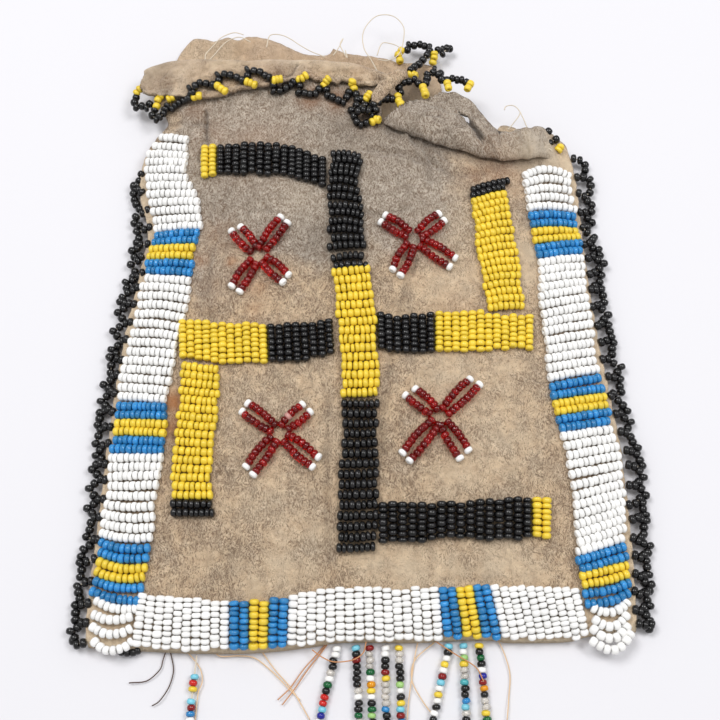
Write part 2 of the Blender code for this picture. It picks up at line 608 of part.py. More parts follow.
def bead_strand(name, colour, root_share, drift_share, beads):
    """A string of beads that hangs from the hem, swollen at each bead and thin between them.

    It turns about the middle of its first bead, which lies just clear of the hem.
    """
    hem = between(HEM_SHARES, root_share) * HALF_LENGTH
    root = Vector((root_share * HALF_WIDTH, hem - HINGE_GAP - STRAND_BEAD / 2, STRAND_BEAD / 2))
    length = beads * BEAD_LENGTH
    sizes = [(-BEAD_LENGTH / 2, THREAD_DIAMETER)]
    for bead in range(beads):
        sizes.append((bead * BEAD_LENGTH, STRAND_BEAD))
        sizes.append(((bead + 0.5) * BEAD_LENGTH, THREAD_DIAMETER))
    bm = bmesh.new()
    rings = []
    for down, diameter in sizes:
        x = root.x + drift_share * length * math.sin(math.pi / 2 * max(0, down) / length)
        ring = []
        for side in range(SIDE_COUNT):
            turn = 2 * math.pi * (side + 0.5) / SIDE_COUNT - math.pi / 2
            spoke = Vector((math.cos(turn), 0, math.sin(turn))) * diameter / 2
            ring.append(bm.verts.new(Vector((x, root.y - down, root.z)) + spoke))
        rings.append(ring)
    for before, after in zip(rings, rings[1:]):
        for j in range(SIDE_COUNT):
            k = (j + 1) % SIDE_COUNT
            bm.faces.new((before[j], before[k], after[k], after[j]))
    bm.faces.new(rings[0])
    bm.faces.new(rings[-1])
    strand = finish_object(bm, name, colour, origin=root)
    hang_on_pivot(strand, f"{name}_pivot")
    return strand


def main():
    clear_scene()
    back_panel()
    front_panel()
    rim_cuff()
    border_bands()
    figure()
    for name, (middle, tips) in CROSS_SHARES.items():
        small_cross(name, middle, tips)
    side_edgings()
    rim_edgings()
    for number, (colour, root, drift, beads) in enumerate(STRAND_SHARES, start=1):
        bead_strand(f"strand_{number}", colour, root, drift, beads)
    bpy.context.view_layer.update()


main()
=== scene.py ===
import math
import random

import bpy
import numpy as np
from mathutils import Matrix, Vector, noise
from mathutils.bvhtree import BVHTree


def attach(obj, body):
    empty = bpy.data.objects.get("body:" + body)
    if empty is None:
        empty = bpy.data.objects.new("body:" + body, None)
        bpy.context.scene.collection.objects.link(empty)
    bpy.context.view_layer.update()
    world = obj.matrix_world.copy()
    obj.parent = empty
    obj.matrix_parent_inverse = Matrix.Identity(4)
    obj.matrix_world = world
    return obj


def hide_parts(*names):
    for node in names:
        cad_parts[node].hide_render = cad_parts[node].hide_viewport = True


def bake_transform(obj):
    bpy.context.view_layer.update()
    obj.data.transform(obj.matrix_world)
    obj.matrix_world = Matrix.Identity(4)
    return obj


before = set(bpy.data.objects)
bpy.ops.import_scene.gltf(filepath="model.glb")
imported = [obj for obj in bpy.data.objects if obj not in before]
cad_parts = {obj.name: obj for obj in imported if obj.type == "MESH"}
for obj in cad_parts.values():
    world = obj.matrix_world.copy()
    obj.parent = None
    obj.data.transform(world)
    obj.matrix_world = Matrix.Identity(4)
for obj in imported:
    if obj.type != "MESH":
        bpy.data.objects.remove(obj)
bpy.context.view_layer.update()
mm = 0.001  # metres in a millimetre: the plans and tables below are in millimetres
dice = random.Random(11)

# Shared helpers


def linear(code):
    channels = [int(code[i:i + 2], 16) / 255 for i in (1, 3, 5)]
    return [c / 12.92 if c <= 0.04045 else ((c + 0.055) / 1.055) ** 2.4 for c in channels] + [1.0]


def addNode(tree, kind, inputs=None, **settings):
    node = tree.nodes.new(kind)
    for name, value in settings.items():
        setattr(node, name, value)
    for socket, value in (inputs or {}).items():
        if isinstance(value, bpy.types.NodeSocket):
            tree.links.new(value, node.inputs[socket])
        else:
            node.inputs[socket].default_value = value
    return node


def newMaterial(name):
    material = bpy.data.materials.new(name)
    material.use_nodes = True
    material.node_tree.nodes.clear()
    return material, material.node_tree


def principled(tree, inputs):  # a surface shader, wired to the material's output
    shader = addNode(tree, "ShaderNodeBsdfPrincipled", inputs)
    addNode(tree, "ShaderNodeOutputMaterial", {"Surface": shader.outputs["BSDF"]})


def attributeOf(tree, name, output="Fac"):
    return addNode(tree, "ShaderNodeAttribute", attribute_name=name).outputs[output]


def mathNode(tree, operation, *values):
    return addNode(tree, "ShaderNodeMath", dict(enumerate(values)), operation=operation).outputs[0]


def noiseNode(tree, where, scale, detail, roughness=0.5):
    inputs = {"Vector": where, "Scale": scale, "Detail": detail, "Roughness": roughness}
    return addNode(tree, "ShaderNodeTexNoise", inputs)


def remap(tree, value, low, high, toLow=0.0, toHigh=1.0):
    inputs = {"Value": value, "From Min": low, "From Max": high, "To Min": toLow, "To Max": toHigh}
    return addNode(tree, "ShaderNodeMapRange", inputs).outputs[0]


def mixColour(tree, factor, first, second):
    inputs = {"Factor": factor, "A": first, "B": second}
    return addNode(tree, "ShaderNodeMix", inputs, data_type="RGBA").outputs["Result"]


def meshObject(name, points, faces, shown=True):
    mesh = bpy.data.meshes.new(name)
    mesh.from_pydata(points, [], faces)
    mesh.shade_smooth()
    obj = bpy.data.objects.new(name, mesh)
    if shown:
        bpy.context.collection.objects.link(obj)
    return obj


def tubeFaces(start, rings, sides):  # faces of a closed tube whose rings of points begin at start
    faces = []
    for low in range(start, start + (rings - 1) * sides, sides):
        for side in range(sides):
            after = (side + 1) % sides
            faces.append((low + side, low + after, low + sides + after, low + sides + side))
    last = start + (rings - 1) * sides
    return faces + [[start + side for side in reversed(range(sides))], [last + side for side in range(sides)]]


def unit(vector):
    return vector / np.linalg.norm(vector)


def spline(points, count):  # a smooth curve through points, resampled
    p = np.asarray(points, float)
    p = np.vstack([2 * p[0] - p[1], p, 2 * p[-1] - p[-2]])
    t = np.linspace(0, len(p) - 3, count)
    i = np.minimum(t.astype(int), len(p) - 4)
    f = (t - i)[:, None]
    a, b, c, d = p[i], p[i + 1], p[i + 2], p[i + 3]
    return 0.5 * (2 * b + (c - a) * f + (2 * a - 5 * b + 4 * c - d) * f**2 + (3 * b - a - 3 * c + d) * f**3)


def table(points):  # a smooth function through (at, value) pairs
    dense = spline(points, 24 * len(points))
    return lambda at: np.interp(at, dense[:, 0], dense[:, 1])


def ease(share):
    share = np.clip(share, 0, 1)
    return share * share * (3 - 2 * share)


def travelled(points):  # the way along a polyline to each of its points
    return np.r_[0, np.cumsum(np.linalg.norm(np.diff(points, axis=0), axis=1))]


def alongLine(points, share):  # the point, or points, at a share of a polyline's length
    points = np.asarray(points, float)
    lengths = travelled(points)
    return np.stack([np.interp(share * lengths[-1], lengths, column) for column in points.T], -1)


def evenly(points, step):  # points at an even step along a polyline
    count = max(1, round(travelled(points)[-1] / step))
    return alongLine(points, (np.arange(count) + 0.5) / count)


def speckle(x, y, size, seed, depth=2):  # smooth noise over the plan, in millimetres
    places = zip(x.ravel() / size, y.ravel() / size)
    return np.array([noise.fractal(Vector((a, b, seed)), 1, 2, depth) for a, b in places]).reshape(x.shape)


def facing(grid):  # unit normals of a grid of points
    normals = np.cross(np.gradient(grid, axis=1), np.gradient(grid, axis=0))
    return normals / np.maximum(np.linalg.norm(normals, axis=2), 1e-9)[..., None]


def sheetObject(name, outer, inner, paint, keep=None):  # a closed sheet between two grids of points
    rows, columns = outer.shape[:2]
    total = rows * columns
    index = np.arange(total).reshape(rows, columns)
    corners = index[:-1, :-1], index[:-1, 1:], index[1:, 1:], index[1:, :-1]
    quads = np.stack(corners, -1).reshape(-1, 4)
    if keep is not None:
        quads = quads[keep.ravel()]
    edges = np.concatenate([quads[:, [k, (k + 1) % 4]] for k in range(4)])
    low, high = np.sort(edges, 1).T
    _, first, uses = np.unique(low * total + high, return_index=True, return_counts=True)
    rim = edges[first[uses == 1]]
    walls = np.stack([rim[:, 1], rim[:, 0], rim[:, 0] + total, rim[:, 1] + total], -1)
    faces = np.concatenate([quads, quads[:, ::-1] + total, walls])
    used, faces = np.unique(faces, return_inverse=True)
    points = np.concatenate([outer.reshape(-1, 3), inner.reshape(-1, 3)])[used] * mm
    obj = meshObject(name, points.tolist(), faces.reshape(-1, 4).tolist())
    for label, values in paint.items():
        flat = np.tile(values.ravel(), 2)[used].astype(np.float32)
        obj.data.attributes.new(label, "FLOAT", "POINT").data.foreach_set("value", flat)
    return obj


# The hide's plan, the same outline as the solids: y, left edge, right edge
sideEdges = [
    (-79.2, -62.0, 63.2), (-72.0, -62.9, 63.5), (-57.6, -62.3, 63.9), (-43.2, -61.7, 63.5),
    (-30.0, -61.1, 62.9), (-15.2, -60.1, 61.1), (0.0, -58.6, 59.2), (16.0, -56.1, 58.0),
    (27.2, -54.9, 57.4), (36.8, -57.4, 57.0), (47.2, -57.4, 56.1), (54.4, -54.1, 53.9), (58.4, -51.4, 53.3),
    (64.0, -53.6, 53.3), (72.0, -59.5, 53.3),
]
# The lower and upper edges as (x, y), and the front rim as (share of the width, y)
hemEdge = [
    (-62.0, -77.7), (-50.6, -78.4), (-36.9, -79.0), (-22.6, -78.8), (-10.5, -77.5), (-4.1, -76.6),
    (12.6, -76.6), (23.6, -76.1), (31.0, -76.1), (34.7, -76.6), (47.3, -76.4), (52.7, -75.2), (62.8, -74.3),
]
frontRim = [
    (0.0, 73.2), (0.04, 74.4), (0.08, 75.2), (0.15, 74.8), (0.22, 74.0), (0.28, 73.6), (0.36, 73.2),
    (0.44, 73.0), (0.52, 71.6), (0.56, 69.6), (0.61, 66.0), (0.67, 63.8), (0.73, 63.9), (0.752, 63.3),
    (0.768, 61.6), (0.79, 58.4), (0.81, 55.2), (0.825, 53.1), (0.838, 52.0), (0.86, 52.4), (0.89, 53.6),
    (0.92, 54.9), (0.95, 55.6), (0.975, 54.6), (1.0, 52.8),
]
backRim = [
    (-52.0, 76.0), (-50.4, 81.5), (-48.6, 84.6), (-46.4, 86.5), (-43.9, 86.7), (-41.0, 86.1), (-37.5, 86.7),
    (-34.0, 86.0), (-28.5, 86.5), (-21.1, 83.5), (-14.9, 81.4), (-9.4, 81.2), (-8.2, 83.2), (-6.8, 82.6),
    (-4.4, 81.6), (0.0, 81.0), (4.2, 80.6), (8.0, 79.8), (10.0, 79.0), (16.0, 78.4), (20.5, 76.0),
    (22.5, 66.0), (26.0, 58.0), (33.0, 55.0), (35.6, 55.6), (37.0, 59.4), (41.0, 59.2), (43.4, 56.5),
    (52.6, 53.4),
]
cuffEdge = [
    (-60.4, 68.2), (-58.6, 67.0), (-56.7, 66.4), (-53.9, 65.8), (-49.7, 65.0), (-45.4, 64.5), (-42.6, 63.8),
    (-38.4, 63.5), (-33.0, 64.7), (-29.0, 65.4), (-22.4, 66.0), (-19.0, 67.2), (-16.6, 67.5), (-13.2, 68.0),
    (-11.3, 67.0), (-7.9, 66.6), (-5.8, 66.3), (-4.5, 67.2), (-2.6, 66.6), (0.0, 65.6), (3.1, 65.6),
    (4.7, 66.9), (7.0, 68.0),
]
# The low edge of the loose flap's roll
rollLine = [
    (0.0, 57.0), (4.9, 54.4), (7.5, 52.6), (9.8, 51.6), (12.9, 50.8), (18.1, 48.1), (22.1, 47.0),
    (27.3, 46.1), (30.3, 45.0), (33.8, 44.3), (38.5, 44.4), (42.6, 45.2), (47.0, 46.3), (50.3, 46.0),
    (56.0, 46.0),
]
leftEdge = table([(row[0], row[1]) for row in sideEdges])
rightEdge = table([(row[0], row[2]) for row in sideEdges])
edgeLines = (hemEdge, frontRim, backRim, cuffEdge, rollLine)
hemAt, rimAt, backRimAt, cuffEdgeAt, rollAt = (table(points) for points in edgeLines)

hide = {
    "thickness": 1.25,
    "crown": 9.0,  # rise of the front's middle over the seam
    "mouthLift": 2.0,  # rise of the front's sides at the mouth
    "relief": 0.45,
    "backTop": 1.3,
    "seamTop": 2.9,
    "insideFloor": 1.62,  # the front's lining stays above the back panel
    "hemLevel": -79.2,
    "mouthLevel": 71.6,
}

# The roll of the loose flap, as a section: distance past its low edge, shift along y, height
rollSection = spline(
    [(-4.0, 0.0, 0.0), (-2.4, 0.2, 0.0), (-1.2, 1.1, -0.25), (-0.4, 1.9, -0.1), (0.4, 1.5, 0.25),
     (1.2, 0.0, 0.45), (1.9, -1.5, 1.0), (2.6, -2.2, 2.0), (3.4, -2.2, 3.1), (4.4, -1.6, 3.9),
     (6.0, -0.7, 4.2), (9.0, -0.2, 3.3), (13.0, 0.0, 1.9), (20.0, 0.0, 1.0)],
    300,
)


def rollShape(x, y):  # shift along y and height of the roll, way past its low edge, strength across
    past = y - rollAt(x)
    window = ease((x - 2.5) / 5) * (1 - ease((x - 44) / 10))
    shift, lift = (window * np.interp(past, rollSection[:, 0], rollSection[:, k]) for k in (1, 2))
    return shift, lift, past, window


def frontHeight(x, y, rolled=True):  # top of the front panel before its relief
    left, right = leftEdge(y), rightEdge(y)
    side = np.clip(np.abs(2 * (x - left) / (right - left) - 1), 0, 1)
    hem = hemAt(x)
    rise = np.clip((y - hem) / (hide["mouthLevel"] - hem), 0, 1)
    crown = (1 - side**2.5) * (1 - (1 - rise) ** 5) * (1 - 0.2 * ease((rise - 0.7) / 0.3))
    lift = side**2.5 * ease((rise - 0.82) / 0.18)
    height = hide["seamTop"] + hide["crown"] * crown + hide["mouthLift"] * lift
    return height + (rollShape(x, y)[1] if rolled else 0)


# Creases: points in plan, depth, half width
creases = [
    ([(-41.1, 59.4), (-40.6, 55.3), (-40.8, 50.1), (-41.7, 45.6)], 0.5, 0.7),
    ([(-38.3, 29.3), (-37.4, 26.4), (-34.9, 23.3), (-36.6, 20.6), (-37.4, 16.0)], 0.35, 0.5),
    ([(0.8, 29.4), (3.0, 27.7), (6.3, 28.0), (9.6, 28.6), (13.1, 29.8)], 0.6, 0.6),
    ([(14.4, 15.7), (12.8, 11.0), (10.8, 6.4), (9.5, 3.0)], 0.5, 0.6),
    ([(7.5, -10.0), (6.5, -17.5), (5.4, -25.9), (5.6, -34.3)], 0.5, 0.7),
    ([(-7.4, -21.2), (-7.8, -33.4), (-7.4, -45.1), (-6.9, -58.7)], 0.5, 0.8),
    ([(4.2, 57.3), (4.7, 51.1), (5.4, 45.0)], 0.5, 0.8),
    ([(13.0, 52.7), (16.8, 48.2), (18.5, 43.8), (18.0, 38.0)], 0.7, 1.0),
    ([(-27.9, 29.1), (-24.8, 30.0), (-21.5, 28.4)], 0.3, 0.5),
    ([(-37.4, 20.7), (-37.8, 8.3), (-36.4, 0.1)], 0.3, 0.6),
    ([(2.0, 47.0), (12.0, 45.0), (24.0, 40.0), (32.0, 41.0)], 0.4, 1.2),
    ([(-54.0, 57.0), (-48.0, 58.5), (-41.0, 57.0)], 0.4, 0.8),
    ([(13.8, 49.6), (15.5, 47.4), (18.0, 44.8), (20.0, 42.0)], 0.9, 0.7),
    ([(13.2, 49.4), (14.2, 46.8), (14.9, 43.3)], 0.8, 0.7),
    ([(6.4, 44.8), (9.0, 46.0), (11.3, 45.7)], 0.4, 0.5),
    ([(17.0, 47.8), (20.6, 45.4), (23.6, 43.3)], 0.5, 0.6),
]
# Gaps where layers part, the shade inside them painted dark: points in plan, depth, half width
darkGaps = [
    ([(-41.0, 61.0), (-40.5, 58.0), (-40.5, 53.4), (-39.9, 50.7)], 0.5, 0.4),
    ([(28.1, 55.2), (29.6, 52.8), (31.2, 50.4)], 1.3, 0.75),
    ([(36.3, 52.0), (37.6, 52.9), (39.2, 53.5)], 0.8, 0.6),
]
# painted shade in the gaps, darker in the wide ones
wideGap, wideGapShade, narrowGapShade = 0.5, 1.45, 0.8
# Stains: middle in plan, radius, strength
orangeStains = [
    (-40.2, 16.3, 2.2, 0.7), (-32.0, 15.5, 1.5, 0.8), (-25.2, 7.4, 2.5, 0.5), (-25.7, 2.1, 3.0, 0.35),
    (36.0, 42.0, 7.0, 0.45), (-44.2, -26.5, 3.6, 1.3), (-45.0, -20.5, 3.2, 1.3), (30.0, 40.5, 4.0, 0.35),
    (-27.0, 47.0, 9.0, 0.3), (24.0, 2.0, 6.0, 0.25), (-38.0, 52.0, 6.0, 0.22), (-37.0, 24.0, 6.0, 0.22),
    (-36.0, 8.0, 6.0, 0.15),
]
# Brown painted shade under the rim's trim and the flap's tip: middle in plan, radius, strength
shadeUnderTrim = [
    (-13.0, 62.5, 3.2, 0.75), (-6.0, 62.0, 3.5, 0.75), (1.5, 61.0, 3.0, 0.8), (-44.0, 61.5, 4.0, 0.3),
    (2.0, 56.0, 3.0, 0.6),
]
palePatches = [
    (3.0, -58.5, 5.0, 0.8), (11.0, -61.0, 6.0, 1.0), (38.5, -61.0, 5.0, 0.6), (-10.0, -53.0, 4.0, 0.5),
    (-21.0, -21.3, 2.0, 0.7), (-18.9, -53.5, 2.4, 0.8), (-23.4, -63.8, 4.0, 0.6), (-27.4, -60.5, 3.0, 0.5),
    (28.2, -37.9, 3.0, 0.4), (33.0, -58.5, 6.0, 0.95), (12.0, -60.0, 7.0, 0.4), (-35.0, -60.0, 5.0, 0.2),
    (-12.0, -60.0, 5.0, 0.4), (24.0, 10.0, 10.0, 0.55), (43.0, 16.0, 8.0, 1.0), (22.0, -13.0, 10.0, 0.55),
    (34.0, -13.0, 9.0, 0.4), (33.0, -31.0, 11.0, 0.5), (-12.0, -17.0, 9.0, 0.3), (-8.0, -31.0, 7.0, 0.3),
    (47.0, 47.0, 7.0, 1.1), (25.0, 24.0, 7.0, 0.4), (-18.0, -61.0, 5.0, 0.8), (20.0, -61.0, 5.0, 0.7),
    (23.0, -40.0, 6.0, 0.6), (-29.0, -24.0, 9.0, 0.3), (-22.0, -46.0, 9.0, 0.35), (-15.0, 33.0, 6.0, 0.2),
]
smudges = [
    (-11.0, 21.0, 5.5, 0.55), (-3.0, 52.0, 7.0, 0.42), (10.0, 47.0, 7.0, 0.25), (-37.0, 30.0, 10.0, 0.22),
    (18.0, 59.0, 6.0, 0.15), (-36.0, 8.0, 7.0, 0.15), (-30.0, -59.0, 6.0, 0.15), (-44.0, -28.5, 2.2, 0.7),
]
darkPatches = [
    (-18.8, 22.2, 6.0, 0.5), (8.7, 20.5, 5.0, 0.5), (-10.1, 27.5, 7.0, 0.5), (-30.0, 51.0, 14.0, 0.35),
    (-11.0, 21.0, 6.0, 0.9), (8.0, 36.0, 14.0, 0.55), (22.0, 58.0, 9.0, 0.55), (-8.0, 56.0, 12.0, 0.45),
    (-15.0, 25.0, 7.0, 0.6), (-15.0, -48.0, 7.0, 0.1), (-24.0, -5.0, 5.0, 0.25),
]


def toLine(x, y, points):  # distance to a polyline
    nearest = np.full(x.shape, np.inf)
    for (ax, ay), (bx, by) in zip(points, points[1:]):
        dx, dy = bx - ax, by - ay
        f = np.clip(((x - ax) * dx + (y - ay) * dy) / (dx * dx + dy * dy), 0, 1)
        nearest = np.minimum(nearest, np.hypot(x - ax - f * dx, y - ay - f * dy))
    return nearest


def patches(x, y, spots):
    total = np.zeros(x.shape)
    for sx, sy, radius, strength in spots:
        total = np.maximum(total, strength * np.exp(-((x - sx) ** 2 + (y - sy) ** 2) / radius**2))
    return total


def waves(x, y, seed):  # broad and fine unevenness of old hide
    return speckle(x, y, 17, seed), speckle(x, y, 4.5, seed + 5)


def hemPlace(share):  # x at a share of the hem's width
    left, right = leftEdge(hide["hemLevel"]), rightEdge(hide["hemLevel"])
    return left + share * (right - left)


# The front panel, with its roll and slit
columns, rows = 190, 240
share = np.linspace(0, 1, columns)
share = 0.6 * share + 0.4 * (0.5 - 0.5 * np.cos(np.pi * share))  # columns lie closer together at the sides
even = np.linspace(0, 1, 2000)  # rows lie closer together where the roll folds over
crowd = np.cumsum(1 + 1.9 * ease((even - 0.76) / 0.05) * (1 - ease((even - 0.93) / 0.05)))
across, along = np.meshgrid(share, np.interp(np.linspace(crowd[0], crowd[-1], rows), crowd, even))
flat = across * 0
hemX = hemPlace(across)
cuffCut = 1.6 * (1 - ease((across - 0.56) / 0.03))
frayed = 0.5 * speckle(across * 90, flat, 3, 2.0)
frontY = hemAt(hemX) + along * (rimAt(across) - cuffCut + frayed - hemAt(hemX))
frontX = leftEdge(frontY) + across * (rightEdge(frontY) - leftEdge(frontY))
sideShare = np.abs(2 * across - 1)
frontX = frontX + np.sign(across - 0.5) * sideShare**12 * 0.35 * speckle(frontY, flat, 2.2, 9.0)
broad, fine = waves(frontX, frontY, 1.0)
relief = hide["relief"] * (broad + 0.35 * fine)
shift, _, past, window = rollShape(frontX, frontY)
# painted shade, gathered below from creases, gaps, the roll's underside and puckers
shadeAndSoil = np.zeros(frontX.shape)
fade = 1 - sideShare**8
upper = ease((frontY - 10) / 40)
frontZ = frontHeight(frontX, frontY) + relief * fade * (1 + 0.5 * upper)
hemward = np.exp(-(((frontY - hemAt(hemX)) / 1.4) ** 2))
cornerward = patches(frontX, frontY, [(-56.5, -72.0, 6.0, 1.2), (57.0, -71.5, 6.0, 1.2)])
seamward = ease((sideShare - 0.93) / 0.04) * (1 - ease((frontY - 46) / 8))
seamward = np.maximum(seamward, np.clip(cornerward, 0, 0.8))
frontZ -= hemward
frontZ += fade * 0.16 * speckle(frontX, frontY, 2.4, 31.0, 3) * (0.6 + 0.6 * upper)
# each crease is dented and painted darker: painted shade
for points, depth, width in creases:
    away = toLine(frontX, frontY, points)
    dent = np.exp(-((away / width) ** 2))
    frontZ += fade * depth * (0.45 * np.exp(-(((away - 2 * width) / (1.3 * width)) ** 2)) - dent)
    shadeAndSoil = np.maximum(shadeAndSoil, 0.35 * dent)
# each gap is sunk and painted dark: painted shade
for points, depth, width in darkGaps:
    dent = np.exp(-((toLine(frontX, frontY, points) / width) ** 4))
    frontZ -= depth * dent
    shadeAndSoil = np.maximum(shadeAndSoil, (wideGapShade if width > wideGap else narrowGapShade) * dent)
frontZ += 0.35 * ease(past / 3) * window * speckle(frontX, frontY * 0.7, 3.2, 20.0)
# painted shadow on the hide just below the roll's low edge
shadeAndSoil = np.maximum(shadeAndSoil, 0.65 * window * np.exp(-(((past + 0.9) / 1.5) ** 2)))
puckers = np.exp(-((speckle(frontX * 0.7 + frontY * 0.5, frontY, 4.2, 44.0) / 0.1) ** 2))
puckers = ease((past - 1) / 3) * window * puckers
frontZ -= 0.5 * puckers
# painted shade in the puckers
shadeAndSoil = np.maximum(shadeAndSoil, 0.3 * puckers)
frontShiftedY = frontY + shift + 0.35 * window * ease(past / 2) * speckle(frontX, frontY, 3.6, 24.0)
slit = [
    (24.7, 58.4), (26.5, 57.4), (28.3, 55.8), (28.7, 54.6), (27.7, 54.6), (26.0, 56.7),
]
flapCut = [(4.7, 53.0), (7.2, 54.9), (9.8, 57.3), (13.2, 60.1), (16.6, 61.2), (19.3, 62.3), (21.1, 63.6)]
flapCut += [(21.5, 80.0), (4.7, 80.0)]  # beyond the rim


def insidePolygon(x, y, polygon):
    inside = np.zeros(x.shape, bool)
    for (ax, ay), (bx, by) in zip(polygon, polygon[1:] + polygon[:1]):
        crosses = (ay > y) != (by > y)
        inside ^= crosses & (x < (bx - ax) * (y - ay) / (by - ay + 1e-12) + ax)
    return inside


middleX = (frontX[:-1, :-1] + frontX[1:, 1:]) / 2
middleY = (frontShiftedY[:-1, :-1] + frontShiftedY[1:, 1:]) / 2
frontOuter = np.stack([frontX, frontShiftedY, frontZ], -1)
frontInner = frontOuter - hide["thickness"] * facing(frontOuter)
frontInner[..., 2] = np.maximum(frontInner[..., 2], hide["insideFloor"])
holes = insidePolygon(middleX, middleY, slit) & (past[1:, 1:] > 3)
holes |= insidePolygon(middleX, middleY, flapCut) & (past[1:, 1:] > 0)
# dirt smudges, fine unevenness, and the painted shade above
smudgesAndShade = np.maximum(shadeAndSoil, patches(frontX, frontY, smudges)) + 0.25 * np.clip(fine, 0, 1)
# orange stains, and the brown painted shade under the trim
stainsAndShade = patches(frontX, frontY, orangeStains + shadeUnderTrim) * (0.75 + 0.5 * fine)
paled = patches(frontX, frontY, palePatches) * (0.8 + 0.6 * fine)
handled = 0.75 * ease((frontY - 4 + 14 * broad) / 34)  # grey from handling, but not on the right side
handled *= 1 - 0.8 * ease((frontX - 14) / 12) * (1 - ease((frontY - 44) / 8))
handled += patches(frontX, frontY, darkPatches)
paint = {
    "shadeAndSoil": np.clip(smudgesAndShade + 0.5 * patches(frontX, frontY, shadeUnderTrim), 0, 1.4),
    "orange": np.clip(stainsAndShade + 0.2 * seamward, 0, 1),
    # the hem's edge is painted paler: partly its own paler edge, partly painted light on an edge face that
    # lies in shade
    "pale": np.clip(paled + 2.0 * hemward + 1.2 * seamward, 0, 2),
    "grey": np.clip(handled * (1 - 0.8 * ease((sideShare - 0.88) / 0.08)), 0, 1),
}
frontHide = sheetObject("frontHide", frontOuter, frontInner, paint, ~holes)
print("front hide made")

# The back panel, flat on the table, with its rim lifted a little where it shows
columns, rows = 130, 150
across, along = np.meshgrid(np.linspace(0, 1, columns), np.linspace(0, 1, rows))
hemX = hemPlace(across)
backLeft = table([(-80, -62.2), (-60, -62.4), (0, -58.6), (27, -54.9), (47, -57.2), (58, -51.8), (86, -51.0)])
rimLeft, rimRight = -51.5, 52.6
frayed = 0.4 * speckle(across * 100, across * 0, 3, 4.0)
backRimY = backRimAt(rimLeft + across * (rimRight - rimLeft)) + frayed
backY = hemAt(hemX) + along * (backRimY - hemAt(hemX))
left = np.where(backY < 58, leftEdge(backY), backLeft(backY))
right = np.minimum(rightEdge(backY), 53.4 + 11 * ease((54 - backY) / 60))
backX = left + across * (right - left)
broad, fine = waves(backX, backY, 7.0)
lift = ease((backY - 66) / 16) * (1.4 + 1.6 * np.clip(broad, -0.8, 1)) * ease((backX + 54) / 12)
backOuter = np.stack([backX, backY, hide["backTop"] + lift], -1)
backInner = np.stack([backX, backY, 0.02 + lift + 0.25 * np.abs(fine) * along], -1)
shaded = patches(backX, backY, [(11.9, 68.5, 5.0, 0.9), (14.9, 70.4, 4.0, 0.9)])  # under the twisted strip
paint = {
    "shadeAndSoil": np.clip(0.3 * np.abs(fine) + shaded, 0, 1),
    "orange": ease((backY - 60) / 20) * (0.28 + 0.04 * ease((backX + 38) / 8) + 0.25 * broad),
    "pale": np.clip(0.7 - 0.2 * ease((backX + 38) / 8) + 0.3 * broad + 1 - ease(along / 0.02), 0, 1),
    "grey": np.clip(0.05 + 0.3 * broad, 0, 0.6),
}
backHide = sheetObject("backHide", backOuter, backInner, paint)
print("back hide made")

# The cuff: the front rim rolled over and laid back down on the front
cuffSize = {
    "turn": 1.35,  # radius of the fold
    "thickness": 1.15,
    "puff": 0.8,
    "curl": 0.7,  # rise of the free edge
    "gap": 0.95,  # height of the cuff's middle over the front
    "reach": 0.585,  # share of the rim's width
}
# The line where the cuff is folded over itself
cuffCrease = [(-23.6, 66.6), (-21.0, 67.5), (-18.9, 68.3), (-17.6, 69.4), (-16.6, 71.5)]
cuffShare = np.linspace(0, cuffSize["reach"], 210)
foldY = rimAt(cuffShare) - 1.5
foldX = leftEdge(foldY) + cuffShare * (rightEdge(foldY) - leftEdge(foldY)) + 1.6 * np.exp(-cuffShare / 0.05)
foldZ = frontHeight(foldX, foldY, False)
flat = foldX * 0
freeY = cuffEdgeAt(foldX) + 0.5 * speckle(foldX, flat, 2.5, 3.0)
radius = cuffSize["turn"] * (1 + 0.25 * speckle(foldX, flat, 9, 6.0))
middle = foldZ - hide["thickness"] / 2 + radius
section = []
for back in (2.4, 1.2):
    z = frontHeight(foldX, foldY - back, False) - hide["thickness"] / 2
    section.append(np.stack([foldX, foldY - back, z], -1))
for turn in np.linspace(-90, 90, 13):
    a = math.radians(turn)
    section.append(np.stack([foldX, foldY + radius * math.cos(a), middle + radius * math.sin(a)], -1))
topX, topY, topZ = section[-1].T
for f in np.linspace(0, 1, 26)[1:]:
    y = topY + f * (freeY - topY)
    x = topX - 1.3 * np.sin(np.pi * f) * np.exp(-cuffShare / 0.03)
    rest = frontHeight(x, y, False) + cuffSize["gap"] + cuffSize["curl"] * ease((f - 0.75) / 0.25)
    drop = (topZ - frontHeight(topX, topY, False) - cuffSize["gap"]) * (1 - ease(f / 0.8))
    wave = cuffSize["puff"] * speckle(x, y, 6, 8.0) * (1 - (2 * f - 1) ** 2)
    wave += 0.55 * speckle(x * 0.7, y * 1.4, 2.8, 12.0, 3)
    wave -= 0.7 * np.exp(-((toLine(x, y, cuffCrease) / 0.7) ** 2))
    section.append(np.stack([x, y, rest + np.maximum(drop + wave, 0)], -1))
cuffMiddle = np.stack(section[::-1])
cuffHalf = cuffSize["thickness"] / 2 * facing(cuffMiddle)
x, y = cuffMiddle[..., 0], cuffMiddle[..., 1]
broad, fine = waves(x, y, 15.0)
